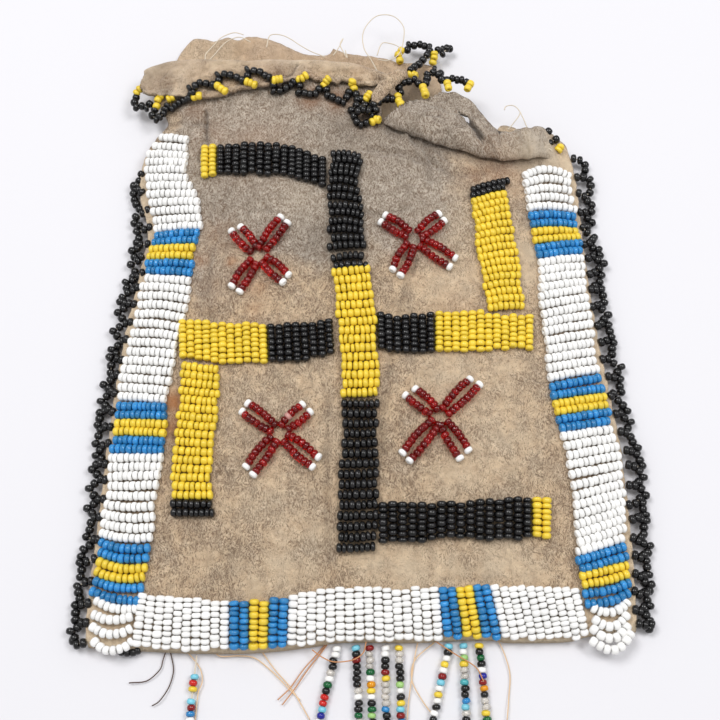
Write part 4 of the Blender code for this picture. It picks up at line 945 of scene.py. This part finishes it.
# Netted edging down both sides. Each row is five beads: a stem's root and tip from the seam outwards,
# then the three chain beads below it
leftNet = [
    (-57.6, 43.9, -58.2, 42.4, -58.9, 41.3, -59.5, 40.3, -59.7, 41.1),
    (-57.1, 38.5, -58.2, 39.8, -59.6, 38.8, -59.3, 37.2, -58.6, 35.6),
    (-55.3, 33.4, -56.8, 32.8, -58.5, 31.9, -58.8, 30.2, -57.4, 29.4),
    (-54.5, 28.4, -56.0, 28.1, -57.9, 27.4, -57.4, 25.9, -57.8, 24.6),
    (-54.7, 23.6, -56.7, 23.8, -57.6, 22.9, -58.8, 22.2, -58.2, 20.6),
    (-56.1, 20.0, -57.2, 19.3, -58.9, 18.3, -57.8, 16.5, -58.2, 15.2),
    (-55.5, 15.5, -56.9, 14.9, -58.3, 14.1, -59.9, 13.4, -59.6, 12.0),
    (-56.5, 11.4, -57.8, 11.1, -59.2, 10.5, -60.5, 9.4, -60.9, 8.0),
    (-57.0, 6.8, -58.5, 7.3, -59.9, 6.1, -61.3, 5.0, -60.1, 3.4),
    (-57.6, 1.9, -59.0, 1.9, -60.6, 1.0, -62.1, -0.1, -61.0, -1.4),
    (-58.4, -2.7, -59.6, -2.8, -60.8, -3.8, -62.2, -4.8, -61.1, -5.9),
    (-59.1, -8.2, -60.5, -7.6, -62.4, -7.2, -61.9, -9.3, -61.9, -11.1),
    (-60.0, -12.0, -61.2, -12.2, -61.8, -13.2, -63.5, -14.2, -62.3, -15.0),
    (-60.2, -16.9, -61.4, -16.1, -62.5, -17.3, -63.9, -18.4, -62.7, -19.6),
    (-60.4, -21.7, -61.7, -20.7, -63.9, -21.4, -63.8, -23.0, -64.1, -24.6),
    (-60.6, -25.5, -62.1, -25.3, -63.4, -25.8, -63.6, -27.6, -64.2, -29.4),
    (-60.8, -29.6, -62.4, -30.0, -63.1, -31.0, -64.0, -32.2, -62.6, -33.0),
    (-61.2, -34.8, -62.6, -34.4, -63.7, -34.7, -64.6, -35.8, -63.3, -37.1),
    (-60.9, -38.7, -62.2, -38.3, -63.7, -39.4, -64.8, -40.6, -63.7, -42.2),
    (-61.0, -43.4, -62.4, -43.4, -63.5, -44.4, -65.0, -45.3, -63.7, -46.6),
    (-61.6, -47.7, -63.1, -47.7, -63.8, -48.9, -64.1, -50.5, -64.7, -52.1),
    (-61.5, -53.1, -62.8, -52.9, -63.7, -54.3, -65.1, -55.2, -65.6, -56.8),
    (-62.1, -57.6, -64.0, -58.2, -65.6, -58.4, -65.2, -60.0, -65.3, -61.6),
    (-62.4, -62.8, -64.0, -62.9, -65.9, -63.8, -65.5, -65.2, -65.1, -66.6),
    (-62.7, -67.9, -64.4, -68.1, -66.0, -68.2, -65.8, -69.9, -65.6, -71.5),
    (-62.8, -72.3, -64.2, -72.3, -65.1, -73.2, -66.4, -74.1, -65.5, -75.6),
    (-63.1, -76.9, -64.8, -77.1, -65.9, -76.2, -65.9, -76.2, -65.9, -76.2),
]
rightNet = [
    (56.6, 48.6, 58.4, 48.5, 59.8, 47.5, 59.6, 45.5, 59.2, 44.3),
    (57.1, 43.0, 58.8, 43.3, 60.7, 42.9, 60.8, 41.1, 60.5, 39.2),
    (57.3, 38.3, 58.9, 37.9, 59.7, 36.7, 60.8, 35.6, 60.6, 33.9),
    (57.2, 32.7, 58.8, 33.2, 59.5, 31.8, 60.5, 30.6, 59.3, 29.3),
    (57.7, 28.4, 59.0, 27.3, 60.7, 26.1, 60.2, 25.3, 59.6, 24.7),
    (57.6, 23.4, 59.2, 24.2, 60.3, 23.2, 61.6, 22.5, 61.8, 21.0),
    (58.5, 19.6, 59.9, 20.4, 61.2, 19.5, 62.6, 18.5, 61.4, 17.2),
    (58.6, 15.1, 60.0, 16.0, 61.9, 15.4, 61.3, 13.6, 60.1, 12.6),
    (58.6, 10.9, 60.0, 11.1, 61.6, 11.4, 61.8, 9.6, 62.0, 7.8),
    (58.6, 6.1, 60.0, 6.7, 61.3, 5.7, 62.7, 4.3, 61.6, 3.1),
    (59.6, 0.9, 60.8, 1.8, 62.7, 1.6, 62.8, -0.2, 63.1, -1.7),
    (60.2, -3.5, 61.7, -2.8, 63.6, -3.2, 63.0, -4.8, 62.9, -6.3),
    (60.2, -8.0, 61.8, -7.6, 63.2, -8.7, 65.0, -9.6, 64.0, -10.9),
    (61.3, -12.5, 62.9, -12.4, 64.6, -12.8, 64.4, -14.5, 64.5, -16.1),
    (61.5, -17.6, 62.5, -16.7, 63.5, -18.5, 64.6, -19.7, 65.6, -21.0),
    (62.5, -22.2, 63.9, -21.7, 64.8, -22.9, 66.3, -23.8, 65.5, -25.3),
    (63.3, -26.7, 64.7, -26.8, 65.8, -27.8, 66.2, -29.1, 67.2, -30.4),
    (64.3, -31.4, 65.6, -31.5, 67.0, -32.0, 67.6, -33.6, 68.1, -34.9),
    (64.5, -35.0, 66.0, -35.2, 67.3, -36.3, 68.2, -37.7, 67.0, -38.9),
    (64.3, -40.0, 65.8, -39.9, 67.4, -40.7, 68.3, -42.2, 66.9, -43.0),
    (63.9, -44.8, 65.6, -44.3, 67.5, -44.1, 67.4, -45.5, 68.0, -46.8),
    (64.4, -48.3, 65.8, -47.7, 67.9, -48.4, 67.2, -50.0, 67.0, -51.6),
    (64.2, -52.7, 65.6, -53.3, 66.8, -53.8, 68.4, -54.3, 67.7, -55.9),
    (64.3, -56.8, 65.8, -57.2, 67.3, -57.9, 67.2, -59.4, 67.6, -61.0),
    (64.0, -61.1, 65.4, -61.6, 66.5, -62.8, 67.9, -63.4, 67.4, -64.7),
    (63.5, -65.1, 64.9, -65.8, 66.6, -65.5, 66.7, -67.0, 67.0, -68.3),
    (63.4, -69.4, 64.8, -69.6, 65.6, -68.6, 66.0, -70.5, 66.8, -71.6),
    (64.0, -72.6, 65.6, -72.8, 66.5, -73.4, 67.1, -72.6, 67.1, -72.6),
]
# Four beads at the hem, below the left net
hemKnots = ((-54.7, -78.6, 1.2), (-53.3, -78.8, 1.2), (-52.0, -78.7, 1.2), (-50.9, -78.3, 1.2))
netSize = {
    "level": 1.3,  # height of the lowest chain beads
    "rootHeight": 3.0,
    "stemBead": (1.2, 1.12),
    "knotBead": (1.05, 1.1),
    "widest": 2.2,  # a wider step in a chain gets one more bead
    "closest": 0.5,  # a closer bead is left out
}
for side, net in (("left", leftNet), ("right", rightNet)):
    stops = [np.array(row).reshape(5, 2) for row in net]
    beads, runs = [], []
    for k, (root, tip, *chain) in enumerate(stops):
        level = netSize["level"] + dice.uniform(0, 0.45)
        stem = [np.array([*root, netSize["rootHeight"]]), np.array([*tip, level + 0.6])]
        beads += [(place, np.array([*(tip - root), 0.2]), "black", netSize["stemBead"]) for place in stem]
        following = stops[k + 1][1] if k + 1 < len(stops) else chain[2] + (0, -1)
        ring = [tip]
        for place in [*chain, following]:
            if np.linalg.norm(place - ring[-1]) > netSize["widest"]:
                ring.append((place + ring[-1]) / 2)
            if np.linalg.norm(place - ring[-1]) > netSize["closest"]:
                ring.append(place)
        runs += [stem, [np.array([*place, level + 0.1]) for place in ring]]
        for before, place, after in zip(ring, ring[1:], ring[2:]):
            at = np.array([*place, level + dice.uniform(-0.25, 0.5)])
            axis = np.array([*(after - before), dice.uniform(-0.6, 0.6)])
            beads.append((at, axis, "black", (dice.uniform(1.1, 1.24), dice.uniform(1.15, 1.28))))
    if side == "left":
        for place in hemKnots:
            axis = np.array([1.0, dice.uniform(-0.3, 0.3), 0])
            beads.append((np.array(place), axis, "black", netSize["knotBead"]))
    beadsFrom(f"{side}EdgingBeads", beads, "pouch", [f"edging_{side}"])
    strings.append((f"{side}EdgingThread", runs, "pouch"))

# Rim trim: one point for each bead, yellow stems and black loops
cuffStems = [
    ((-58.4, 69.0, 5.6), (-59.4, 68.6, 5.1), (-60.2, 67.8, 4.6)),
    ((-53.4, 65.8, 6.1), (-54.1, 64.9, 5.7), (-54.4, 63.1, 5.4)), ((-50.1, 65.1, 6.6), (-51.1, 64.7, 6.4)),
    ((-42.6, 64.1, 9.0), (-44.0, 64.2, 8.2)),
    ((-35.5, 64.1, 11.2), (-36.5, 64.9, 11.1), (-37.6, 66.0, 10.8)),
    ((-27.7, 65.5, 12.0), (-28.8, 66.0, 12.2), (-29.8, 66.4, 12.1)),
    ((-20.8, 66.7, 12.9), (-21.7, 66.6, 12.8), (-22.6, 66.4, 12.7)),
    ((-14.3, 68.0, 12.5), (-15.2, 67.4, 12.1), (-16.2, 67.5, 11.5)),
    ((-8.3, 66.7, 13.0), (-8.9, 66.2, 12.4), (-9.5, 65.5, 11.6)),
    ((-2.0, 66.3, 12.5), (-2.0, 65.9, 11.8), (-1.6, 64.7, 11.3)),
    ((2.6, 63.0, 11.6), (2.0, 62.3, 11.4), (1.4, 61.5, 11.2)),
]
cuffLoops = [
    ((-60.3, 66.6, 4.2), (-60.6, 65.0, 4.3), (-60.0, 63.4, 4.4), (-58.5, 63.7, 4.6), (-57.3, 63.0, 4.7),
     (-56.4, 64.2, 4.8)),
    ((-54.9, 62.4, 4.8), (-55.4, 60.5, 5.1), (-54.2, 59.1, 5.3), (-53.4, 59.7, 5.6), (-52.3, 60.6, 5.9),
     (-51.9, 61.7, 6.1), (-51.4, 62.6, 6.4)),
    ((-50.2, 61.9, 6.1), (-49.3, 62.6, 6.4), (-48.3, 63.3, 6.6), (-47.1, 63.8, 6.9), (-46.2, 64.0, 7.3),
     (-45.4, 64.2, 7.8)),
    ((-44.1, 65.0, 9.2), (-45.0, 64.9, 9.1), (-45.2, 65.9, 9.8), (-43.6, 66.3, 10.2), (-42.4, 67.2, 10.3),
     (-40.7, 66.9, 10.4), (-38.9, 66.4, 10.6)),
    ((-37.3, 67.5, 11.0), (-37.6, 68.9, 11.4), (-35.8, 68.8, 11.8), (-34.2, 68.5, 11.8),
     (-32.5, 67.9, 11.8), (-31.1, 67.1, 11.7)),
    ((-29.6, 68.1, 12.2), (-29.7, 69.7, 12.6), (-27.9, 69.2, 12.8), (-26.3, 68.8, 12.8),
     (-25.0, 67.9, 12.6), (-23.9, 67.4, 12.5)),
    ((-22.8, 65.6, 11.6), (-22.8, 64.3, 10.8), (-21.1, 64.4, 10.8), (-19.6, 65.2, 10.9),
     (-18.3, 66.0, 11.0), (-17.6, 66.9, 11.2)),
    ((-15.8, 65.8, 11.0), (-16.1, 63.7, 11.0), (-14.5, 63.5, 11.1), (-13.1, 63.1, 11.2),
     (-11.7, 63.2, 11.3), (-10.8, 64.5, 11.4)),
    ((-8.8, 64.4, 11.4), (-8.5, 62.7, 11.3), (-7.2, 62.1, 11.3), (-5.7, 61.1, 11.5), (-4.4, 60.5, 11.4),
     (-3.5, 62.2, 11.2), (-2.9, 63.7, 11.2)),
    ((-1.0, 63.0, 11.3), (-0.7, 61.3, 11.4), (-0.9, 59.6, 11.4), (-2.2, 58.1, 11.4), (-1.5, 56.2, 11.5),
     (-0.8, 54.5, 11.6), (0.3, 53.6, 11.6), (1.6, 54.2, 11.6)),
    ((0.3, 61.7, 11.2), (1.3, 59.6, 11.3), (0.4, 58.1, 12.6), (2.5, 58.2, 11.5), (3.1, 56.5, 11.5),
     (4.1, 57.8, 12.0), (3.3, 59.5, 11.9)),
    ((-0.5, 56.8, 13.0), (0.9, 57.2, 13.2), (2.2, 57.0, 13.0)),
]
flapStems = [
    ((4.8, 54.8, 12.2), (4.2, 55.0, 12.0), (3.2, 54.4, 11.8)),
    ((10.0, 63.5, 9.5), (10.2, 61.3, 10.8), (10.7, 59.4, 12.2)),
    ((15.1, 72.7, 5.5), (14.3, 73.0, 5.5), (13.5, 73.1, 5.5)),
    ((16.6, 65.7, 10.5), (16.9, 63.9, 11.5), (17.1, 62.2, 12.5)), ((23.1, 66.9, 10.5), (23.2, 64.6, 12.0)),
    ((29.2, 67.3, 9.5), (28.4, 65.2, 10.8)), ((52.9, 50.9, 5.0), (52.4, 50.2, 4.9)),
]
flapLoops = [
    ((3.6, 59.4, 12.2), (4.8, 60.2, 11.7), (6.0, 61.7, 11.2), (7.1, 62.0, 10.7), (8.5, 62.3, 10.2)),
    ((10.7, 64.7, 9.5), (10.3, 66.2, 9.5), (11.6, 67.9, 9.5), (13.0, 68.1, 9.5), (14.5, 68.8, 9.5),
     (15.5, 67.3, 9.8)),
    ((13.7, 74.1, 6.0), (14.7, 75.2, 5.7), (16.0, 76.3, 5.4), (17.1, 77.9, 5.1), (18.3, 79.7, 4.8),
     (19.0, 81.2, 4.5)),
    ((17.5, 67.3, 10.0), (17.8, 68.7, 9.9), (17.9, 70.1, 9.8), (19.4, 70.7, 9.8), (19.8, 71.8, 9.7),
     (21.3, 70.5, 9.6), (21.8, 68.6, 9.5)),
    ((20.9, 70.2, 9.7), (21.6, 68.8, 9.6), (23.1, 68.6, 9.6), (24.5, 69.1, 9.5), (25.8, 68.7, 9.4),
     (27.0, 68.7, 9.4), (28.2, 68.0, 9.3)),
    ((48.6, 53.8, 5.4), (49.9, 55.2, 5.8)), ((50.1, 51.9, 5.4), (51.8, 52.9, 5.6)),
]
backStems = [
    ((10.9, 78.8, 3.5), (10.5, 80.6, 3.5), (11.3, 82.0, 3.5)),
    ((19.9, 78.1, 3.5), (20.2, 79.3, 4.0), (20.3, 80.3, 4.5)),
]
backLoops = [
    ((13.0, 82.2, 3.5), (13.4, 83.8, 3.6), (14.9, 83.5, 3.7), (16.5, 83.8, 3.8), (17.7, 83.2, 3.9),
     (19.0, 82.8, 4.0)),
    ((21.3, 81.5, 4.5), (22.4, 82.1, 4.0), (22.6, 80.9, 3.5), (23.9, 83.1, 3.0), (24.8, 83.3, 2.5)),
]


def trimBeads(lines, kind):
    beads = []
    for line in lines:
        line = np.array(line)
        for place, way in zip(line, np.gradient(line, axis=0)):
            long = np.clip(1.06 * np.linalg.norm(way) / bead["length"], 0.9, 1.3)
            axis = way * (1, 1, 0.3) + np.array([dice.uniform(-0.2, 0.2) for _ in range(3)])
            beads.append((place, axis, kind, (dice.uniform(1.08, 1.2), long)))
    return beads


trims = (  # name, body, node, yellow stems, black loops
    ("cuff", "cuff", "cuff_edging", cuffStems, cuffLoops),
    ("flap", "pouch", "flap_edging", flapStems, flapLoops),
    ("back", "pouch", "back_rim_edging", backStems, backLoops),
)
for name, body, node, stems, loops in trims:
    beadsFrom(f"{name}TrimBeads", trimBeads(stems, "yellow") + trimBeads(loops, "black"), body, [node])
    strings.append((f"{name}TrimThread", stems + loops, body))
print("edgings made")

# Fringe: the beads of each string from the hem down; a bare place shows only the sinew
strandKinds = (
    "bare bare bare sky scarlet yellow bare sky brick blue white sky black white red blue white black "
    "yellow white sky black white green",
    "white white black black clear white green black scarlet scarlet sky navy white black yellow "
    "white green black white blue white red black",
    "sky black brick black black black black clear white black black green clear white black blue "
    "white black yellow white red black sky white black",
    "brick clear clear clear green white orange yellow white black green lime black sky white black "
    "red white blue black yellow white black green",
    "white white black black brick yellow clear clear clear clear blue black black clear white yellow "
    "black white green black white sky black",
    "yellow clear clear black black black lime white black yellow sky brick blue orange white black "
    "green white black yellow white red black sky black",
    "sky black white yellow white brick sky white yellow white black white black lime white black "
    "blue white yellow black white green black white",
    "sky white lime yellow clear clear teal black black blue sky clear black black brick white yellow "
    "black white blue black white green black white",
    "yellow black green black white navy brick orange black clear clear yellow green black white sky "
    "black white red black white yellow black",
)
stringSize = {"step": 1.35, "height": 1.05}
for number, kinds in enumerate(strandKinds, 1):
    body = f"strand_{number}"
    kinds = kinds.split()
    points = np.array([v.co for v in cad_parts[body].data.vertices]) / mm
    top, end = points[:, 1].max(), points[:, 1].min()
    line = []
    for level in np.arange(top - 0.7, end, -1.0):  # the middle of the solid, from the hem down
        line.append([points[np.abs(points[:, 1] - level) < 0.9, 0].mean(), level, stringSize["height"]])
    line[0][1], line[-1][1] = top, end
    places = evenly(line, stringSize["step"])[:len(kinds)]
    beads = []
    for place, way, kind in zip(places, np.gradient(places, axis=0), kinds):
        if kind != "bare":
            wander = np.array([dice.uniform(-0.15, 0.15), 0, 0])
            swell = (dice.uniform(0.98, 1.12), dice.uniform(0.92, 1.06))
            beads.append((place + wander, way + 2 * wander, kind, swell))
    beadsFrom(f"fringe{number}Beads", beads, body, [body])
    strings.append((f"fringe{number}Thread", [line], body))
beadsFrom("looseBead", [((34.4, -75.6, 1.0), (0.3, 1.0, 0.0), "white", (1.05, 1.05))], "pouch")
print("fringe made")

# Loose sinew at the hem and the rim: points in plan, height, colour
threads = [
    ([(-44.3, -77.6), (-45.1, -80.4), (-45.7, -82.6), (-48.5, -85.0), (-52.5, -85.5)], 0.6, "dark"),
    ([(-43.8, -77.6), (-42.7, -81.7), (-42.7, -83.9), (-43.6, -86.8), (-45.3, -89.4), (-47.0, -90.5)], 0.6,
     "dark"),
    ([(-40.6, -77.6), (-37.6, -80.8), (-36.3, -82.8), (-35.9, -85.3), (-36.7, -87.9), (-37.1, -93.5)], 0.6,
     "tan"),
    ([(-33.5, -78.4), (-31.9, -79.6), (-27.7, -79.5), (-24.1, -80.0), (-20.5, -82.6), (-17.0, -85.9),
      (-13.6, -89.2)], 0.6, "tan"),
    ([(-22.9, -78.0), (-19.4, -82.6), (-15.4, -87.0), (-11.3, -93.5)], 0.6, "tan"),
    ([(-8.0, -77.0), (-12.6, -82.2), (-15.9, -86.6), (-18.6, -89.2)], 0.6, "orange"),
    ([(-7.6, -77.0), (-11.9, -82.6), (-15.0, -87.0), (-17.6, -90.3)], 0.6, "orange"),
    ([(1.4, -76.6), (0.8, -78.9), (-0.9, -80.3), (-3.0, -80.9), (-6.1, -81.0), (-8.6, -80.0),
      (-10.9, -78.4)], 3.0, "orange"),
    ([(13.3, -76.4), (12.4, -80.4), (11.9, -83.7), (11.1, -88.8), (10.6, -93.5)], 0.6, "tan"),
    ([(17.2, -76.4), (12.6, -80.4), (11.8, -84.8), (14.0, -89.2), (16.9, -93.1)], 0.6, "tan"),
    ([(17.2, -76.4), (21.8, -79.3), (26.3, -82.2), (28.0, -85.3)], 2.4, "orange"),
    ([(31.8, -76.0), (33.2, -79.3), (34.2, -83.7), (33.7, -88.8), (33.1, -93.5)], 0.6, "tan"),
    ([(-41.2, 74.6), (-41.7, 77.7), (-39.9, 80.9), (-37.3, 83.8), (-34.4, 85.1), (-31.7, 84.4)], 7.5,
     "pale"),
    ([(-41.8, 75.2), (-39.3, 78.4), (-37.2, 81.5), (-35.1, 83.1), (-32.5, 83.8), (-29.7, 82.2)], 7.0,
     "pale"),
    ([(-25.4, 80.9), (-24.4, 85.1), (-20.3, 84.4), (-16.2, 81.5), (-12.9, 79.3), (-9.4, 77.7)], 6.5,
     "pale"),
    ([(-7.3, 78.4), (-5.7, 80.9), (-4.6, 83.8), (-5.4, 81.5), (-3.5, 77.7), (-4.0, 79.9)], 6.5, "pale"),
    ([(4.8, 72.1), (3.2, 75.8), (1.1, 79.9), (0.8, 84.7), (2.7, 88.6), (5.5, 90.6), (9.5, 89.9),
      (11.9, 86.7), (11.6, 81.5), (10.2, 77.7), (7.5, 76.1), (4.8, 76.5)], 7.5, "pale"),
    ([(4.6, 78.4), (5.9, 82.2), (8.1, 82.2), (10.5, 80.9), (11.3, 78.4)], 6.5, "pale"),
    ([(38.4, 61.3), (38.9, 62.5), (40.6, 62.8), (42.1, 61.6), (43.3, 58.9), (44.0, 56.7), (45.4, 54.0),
      (48.7, 50.4), (50.4, 48.9)], 6.5, "pale"),
    ([(42.7, 60.7), (41.8, 58.9), (39.8, 56.2), (39.0, 55.3)], 6.5, "pale"),
]
threadColours = {"dark": "#4A3428", "tan": "#E0C09A", "orange": "#C4895A", "pale": "#D6CAB6"}
threadSize = {"strungRadius": 0.18, "looseRadius": 0.14, "sides": 6, "lowest": 0.2}


def sinewMaterial():
    material, tree = newMaterial("sinewThread")
    principled(tree, {"Base Color": attributeOf(tree, "threadTint", "Color"), "Roughness": 0.6})
    return material


def tubes(name, lines, radius, body):  # closed tubes along lines of points, in one mesh
    points, faces, tints, sides = [], [], [], threadSize["sides"]
    for line, colour in lines:
        line = np.asarray(line, float)
        faces += tubeFaces(len(points), len(line), sides)
        tints += linear(threadColours[colour]) * (len(line) * sides)
        for place, way in zip(line, np.gradient(line, axis=0)):
            turn = Vector(way).to_track_quat("Z", "Y")
            for side in range(sides):
                a = math.tau * side / sides
                out = turn @ Vector((math.cos(a), math.sin(a), 0)) * radius
                points.append(tuple((Vector(place) + out) * mm))
    obj = meshObject(name, points, faces)
    obj.data.attributes.new("threadTint", "FLOAT_COLOR", "POINT").data.foreach_set("color", tints)
    obj.data.materials.append(sinew)
    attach(obj, body)


sinew = sinewMaterial()
for name, lines, body in strings:
    tubes(name, [(line, "pale") for line in lines], threadSize["strungRadius"], body)
lines = []
for points, level, colour in threads:
    plan = spline(points, 10 * len(points))
    wave = np.array([0.5 * noise.noise(Vector((x / 4, y / 4, level))) for x, y in plan])
    lines.append((np.column_stack([plan, np.maximum(threadSize["lowest"], level + wave)]), colour))
tubes("looseSinew", lines, threadSize["looseRadius"], "pouch")
print("loose sinew made")

# A twisted strip of hide where the cuff ends: middle points and half widths, swept as a closed roll
stripPath = (
    (3.8, 59.6, 13.0), (4.7, 61.7, 12.5), (6.3, 64.6, 12.0),
    (8.0, 67.1, 11.6), (9.9, 68.8, 11.1), (11.9, 69.7, 10.6),
)
stripHalf = [0.9, 1.6, 2.0, 2.1, 1.9, 1.4]
stripSize = {"rings": 60, "sides": 28, "lumps": 0.16, "flatness": 0.55}
rings, count = stripSize["rings"], stripSize["sides"]
middle = spline(stripPath, rings)
half = np.interp(np.linspace(0, 1, rings), np.linspace(0, 1, len(stripHalf)), stripHalf)
turns = np.linspace(0, 2 * np.pi, count + 1)[:-1]
ways = np.gradient(middle, axis=0)
ways /= np.linalg.norm(ways, axis=1)[:, None]
sides = np.cross(ways, (0, 0, 1))
sides /= np.linalg.norm(sides, axis=1)[:, None]
ups = stripSize["flatness"] * np.cross(sides, ways)
circle = [(math.cos(t) * 1.2, math.sin(t) * 1.2) for t in turns]
lumps = [[noise.noise(Vector((*place, x * 0.5))) for place in circle] for x in middle[:, 0]]
ring = half[:, None, None] * (1 + stripSize["lumps"] * np.array(lumps))[..., None]
outward = np.cos(turns)[:, None] * sides[:, None] + np.sin(turns)[:, None] * ups[:, None]
shell = middle[:, None] + ring * outward
twistedStrip = meshObject("twistedStrip", (shell.reshape(-1, 3) * mm).tolist(), tubeFaces(0, rings, count))
twistedStrip.data.materials.append(hideFinish)
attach(twistedStrip, "pouch")

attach(frontHide, "pouch")
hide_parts("front_panel")
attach(backHide, "pouch")
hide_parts("back_panel")
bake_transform(cuffHide)
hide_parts("rim_cuff")

# Stage: pale table, soft light from above, camera at the photograph's angle; lengths in metres
bpy.ops.mesh.primitive_plane_add(size=6, location=(0, 0, -0.0001))
floor = bpy.context.object
floor.name = "floor"
floorMaterial, tree = newMaterial("paleTable")
principled(tree, {"Base Color": linear("#DEDDE1"), "Roughness": 0.9, "Specular IOR Level": 0.1})
floor.data.materials.append(floorMaterial)

world = bpy.data.worlds.new("studio")
bpy.context.scene.world = world
world.use_nodes = True
tree = world.node_tree
tree.nodes.clear()
rays = addNode(tree, "ShaderNodeLightPath").outputs
dim = addNode(tree, "ShaderNodeBackground", {"Color": linear("#FFFFFF"), "Strength": 0.54})
bright = addNode(tree, "ShaderNodeBackground", {"Color": linear("#FAF9FD"), "Strength": 1.0})
seen = mathNode(tree, "MAXIMUM", rays["Is Camera Ray"], rays["Is Transmission Ray"])
mixed = addNode(tree, "ShaderNodeMixShader", {0: seen, 1: dim.outputs[0], 2: bright.outputs[0]})
addNode(tree, "ShaderNodeOutputWorld", {"Surface": mixed.outputs[0]})


def areaLight(name, place, size, power):  # aimed at the middle of the bag
    data = bpy.data.lights.new(name, "AREA")
    data.shape, data.size, data.energy = "SQUARE", size, power
    lamp = bpy.data.objects.new(name, data)
    lamp.location = place
    lamp.rotation_euler = Vector(place).to_track_quat("Z", "Y").to_euler()
    bpy.context.collection.objects.link(lamp)


areaLight("keyLight", (-0.36, 0.26, 0.92), 0.40, 5.4)
areaLight("fillLight", (0.46, 0.08, 0.85), 0.35, 3.5)

camera = bpy.data.objects.new("camera", bpy.data.cameras.new("camera"))
bpy.context.collection.objects.link(camera)
tilt, distance, aimY, aimZ = math.radians(20.0), 0.2827, -0.010, 0.008
camera.location = (0, aimY - distance * math.sin(tilt), aimZ + distance * math.cos(tilt))
camera.rotation_euler = (tilt, 0, 0)
camera.data.lens, camera.data.sensor_width = 58.0, 36.0
camera.data.clip_start, camera.data.clip_end = 0.01, 20
bpy.context.scene.camera = camera
bpy.context.scene.view_settings.view_transform = "Standard"

print("done")
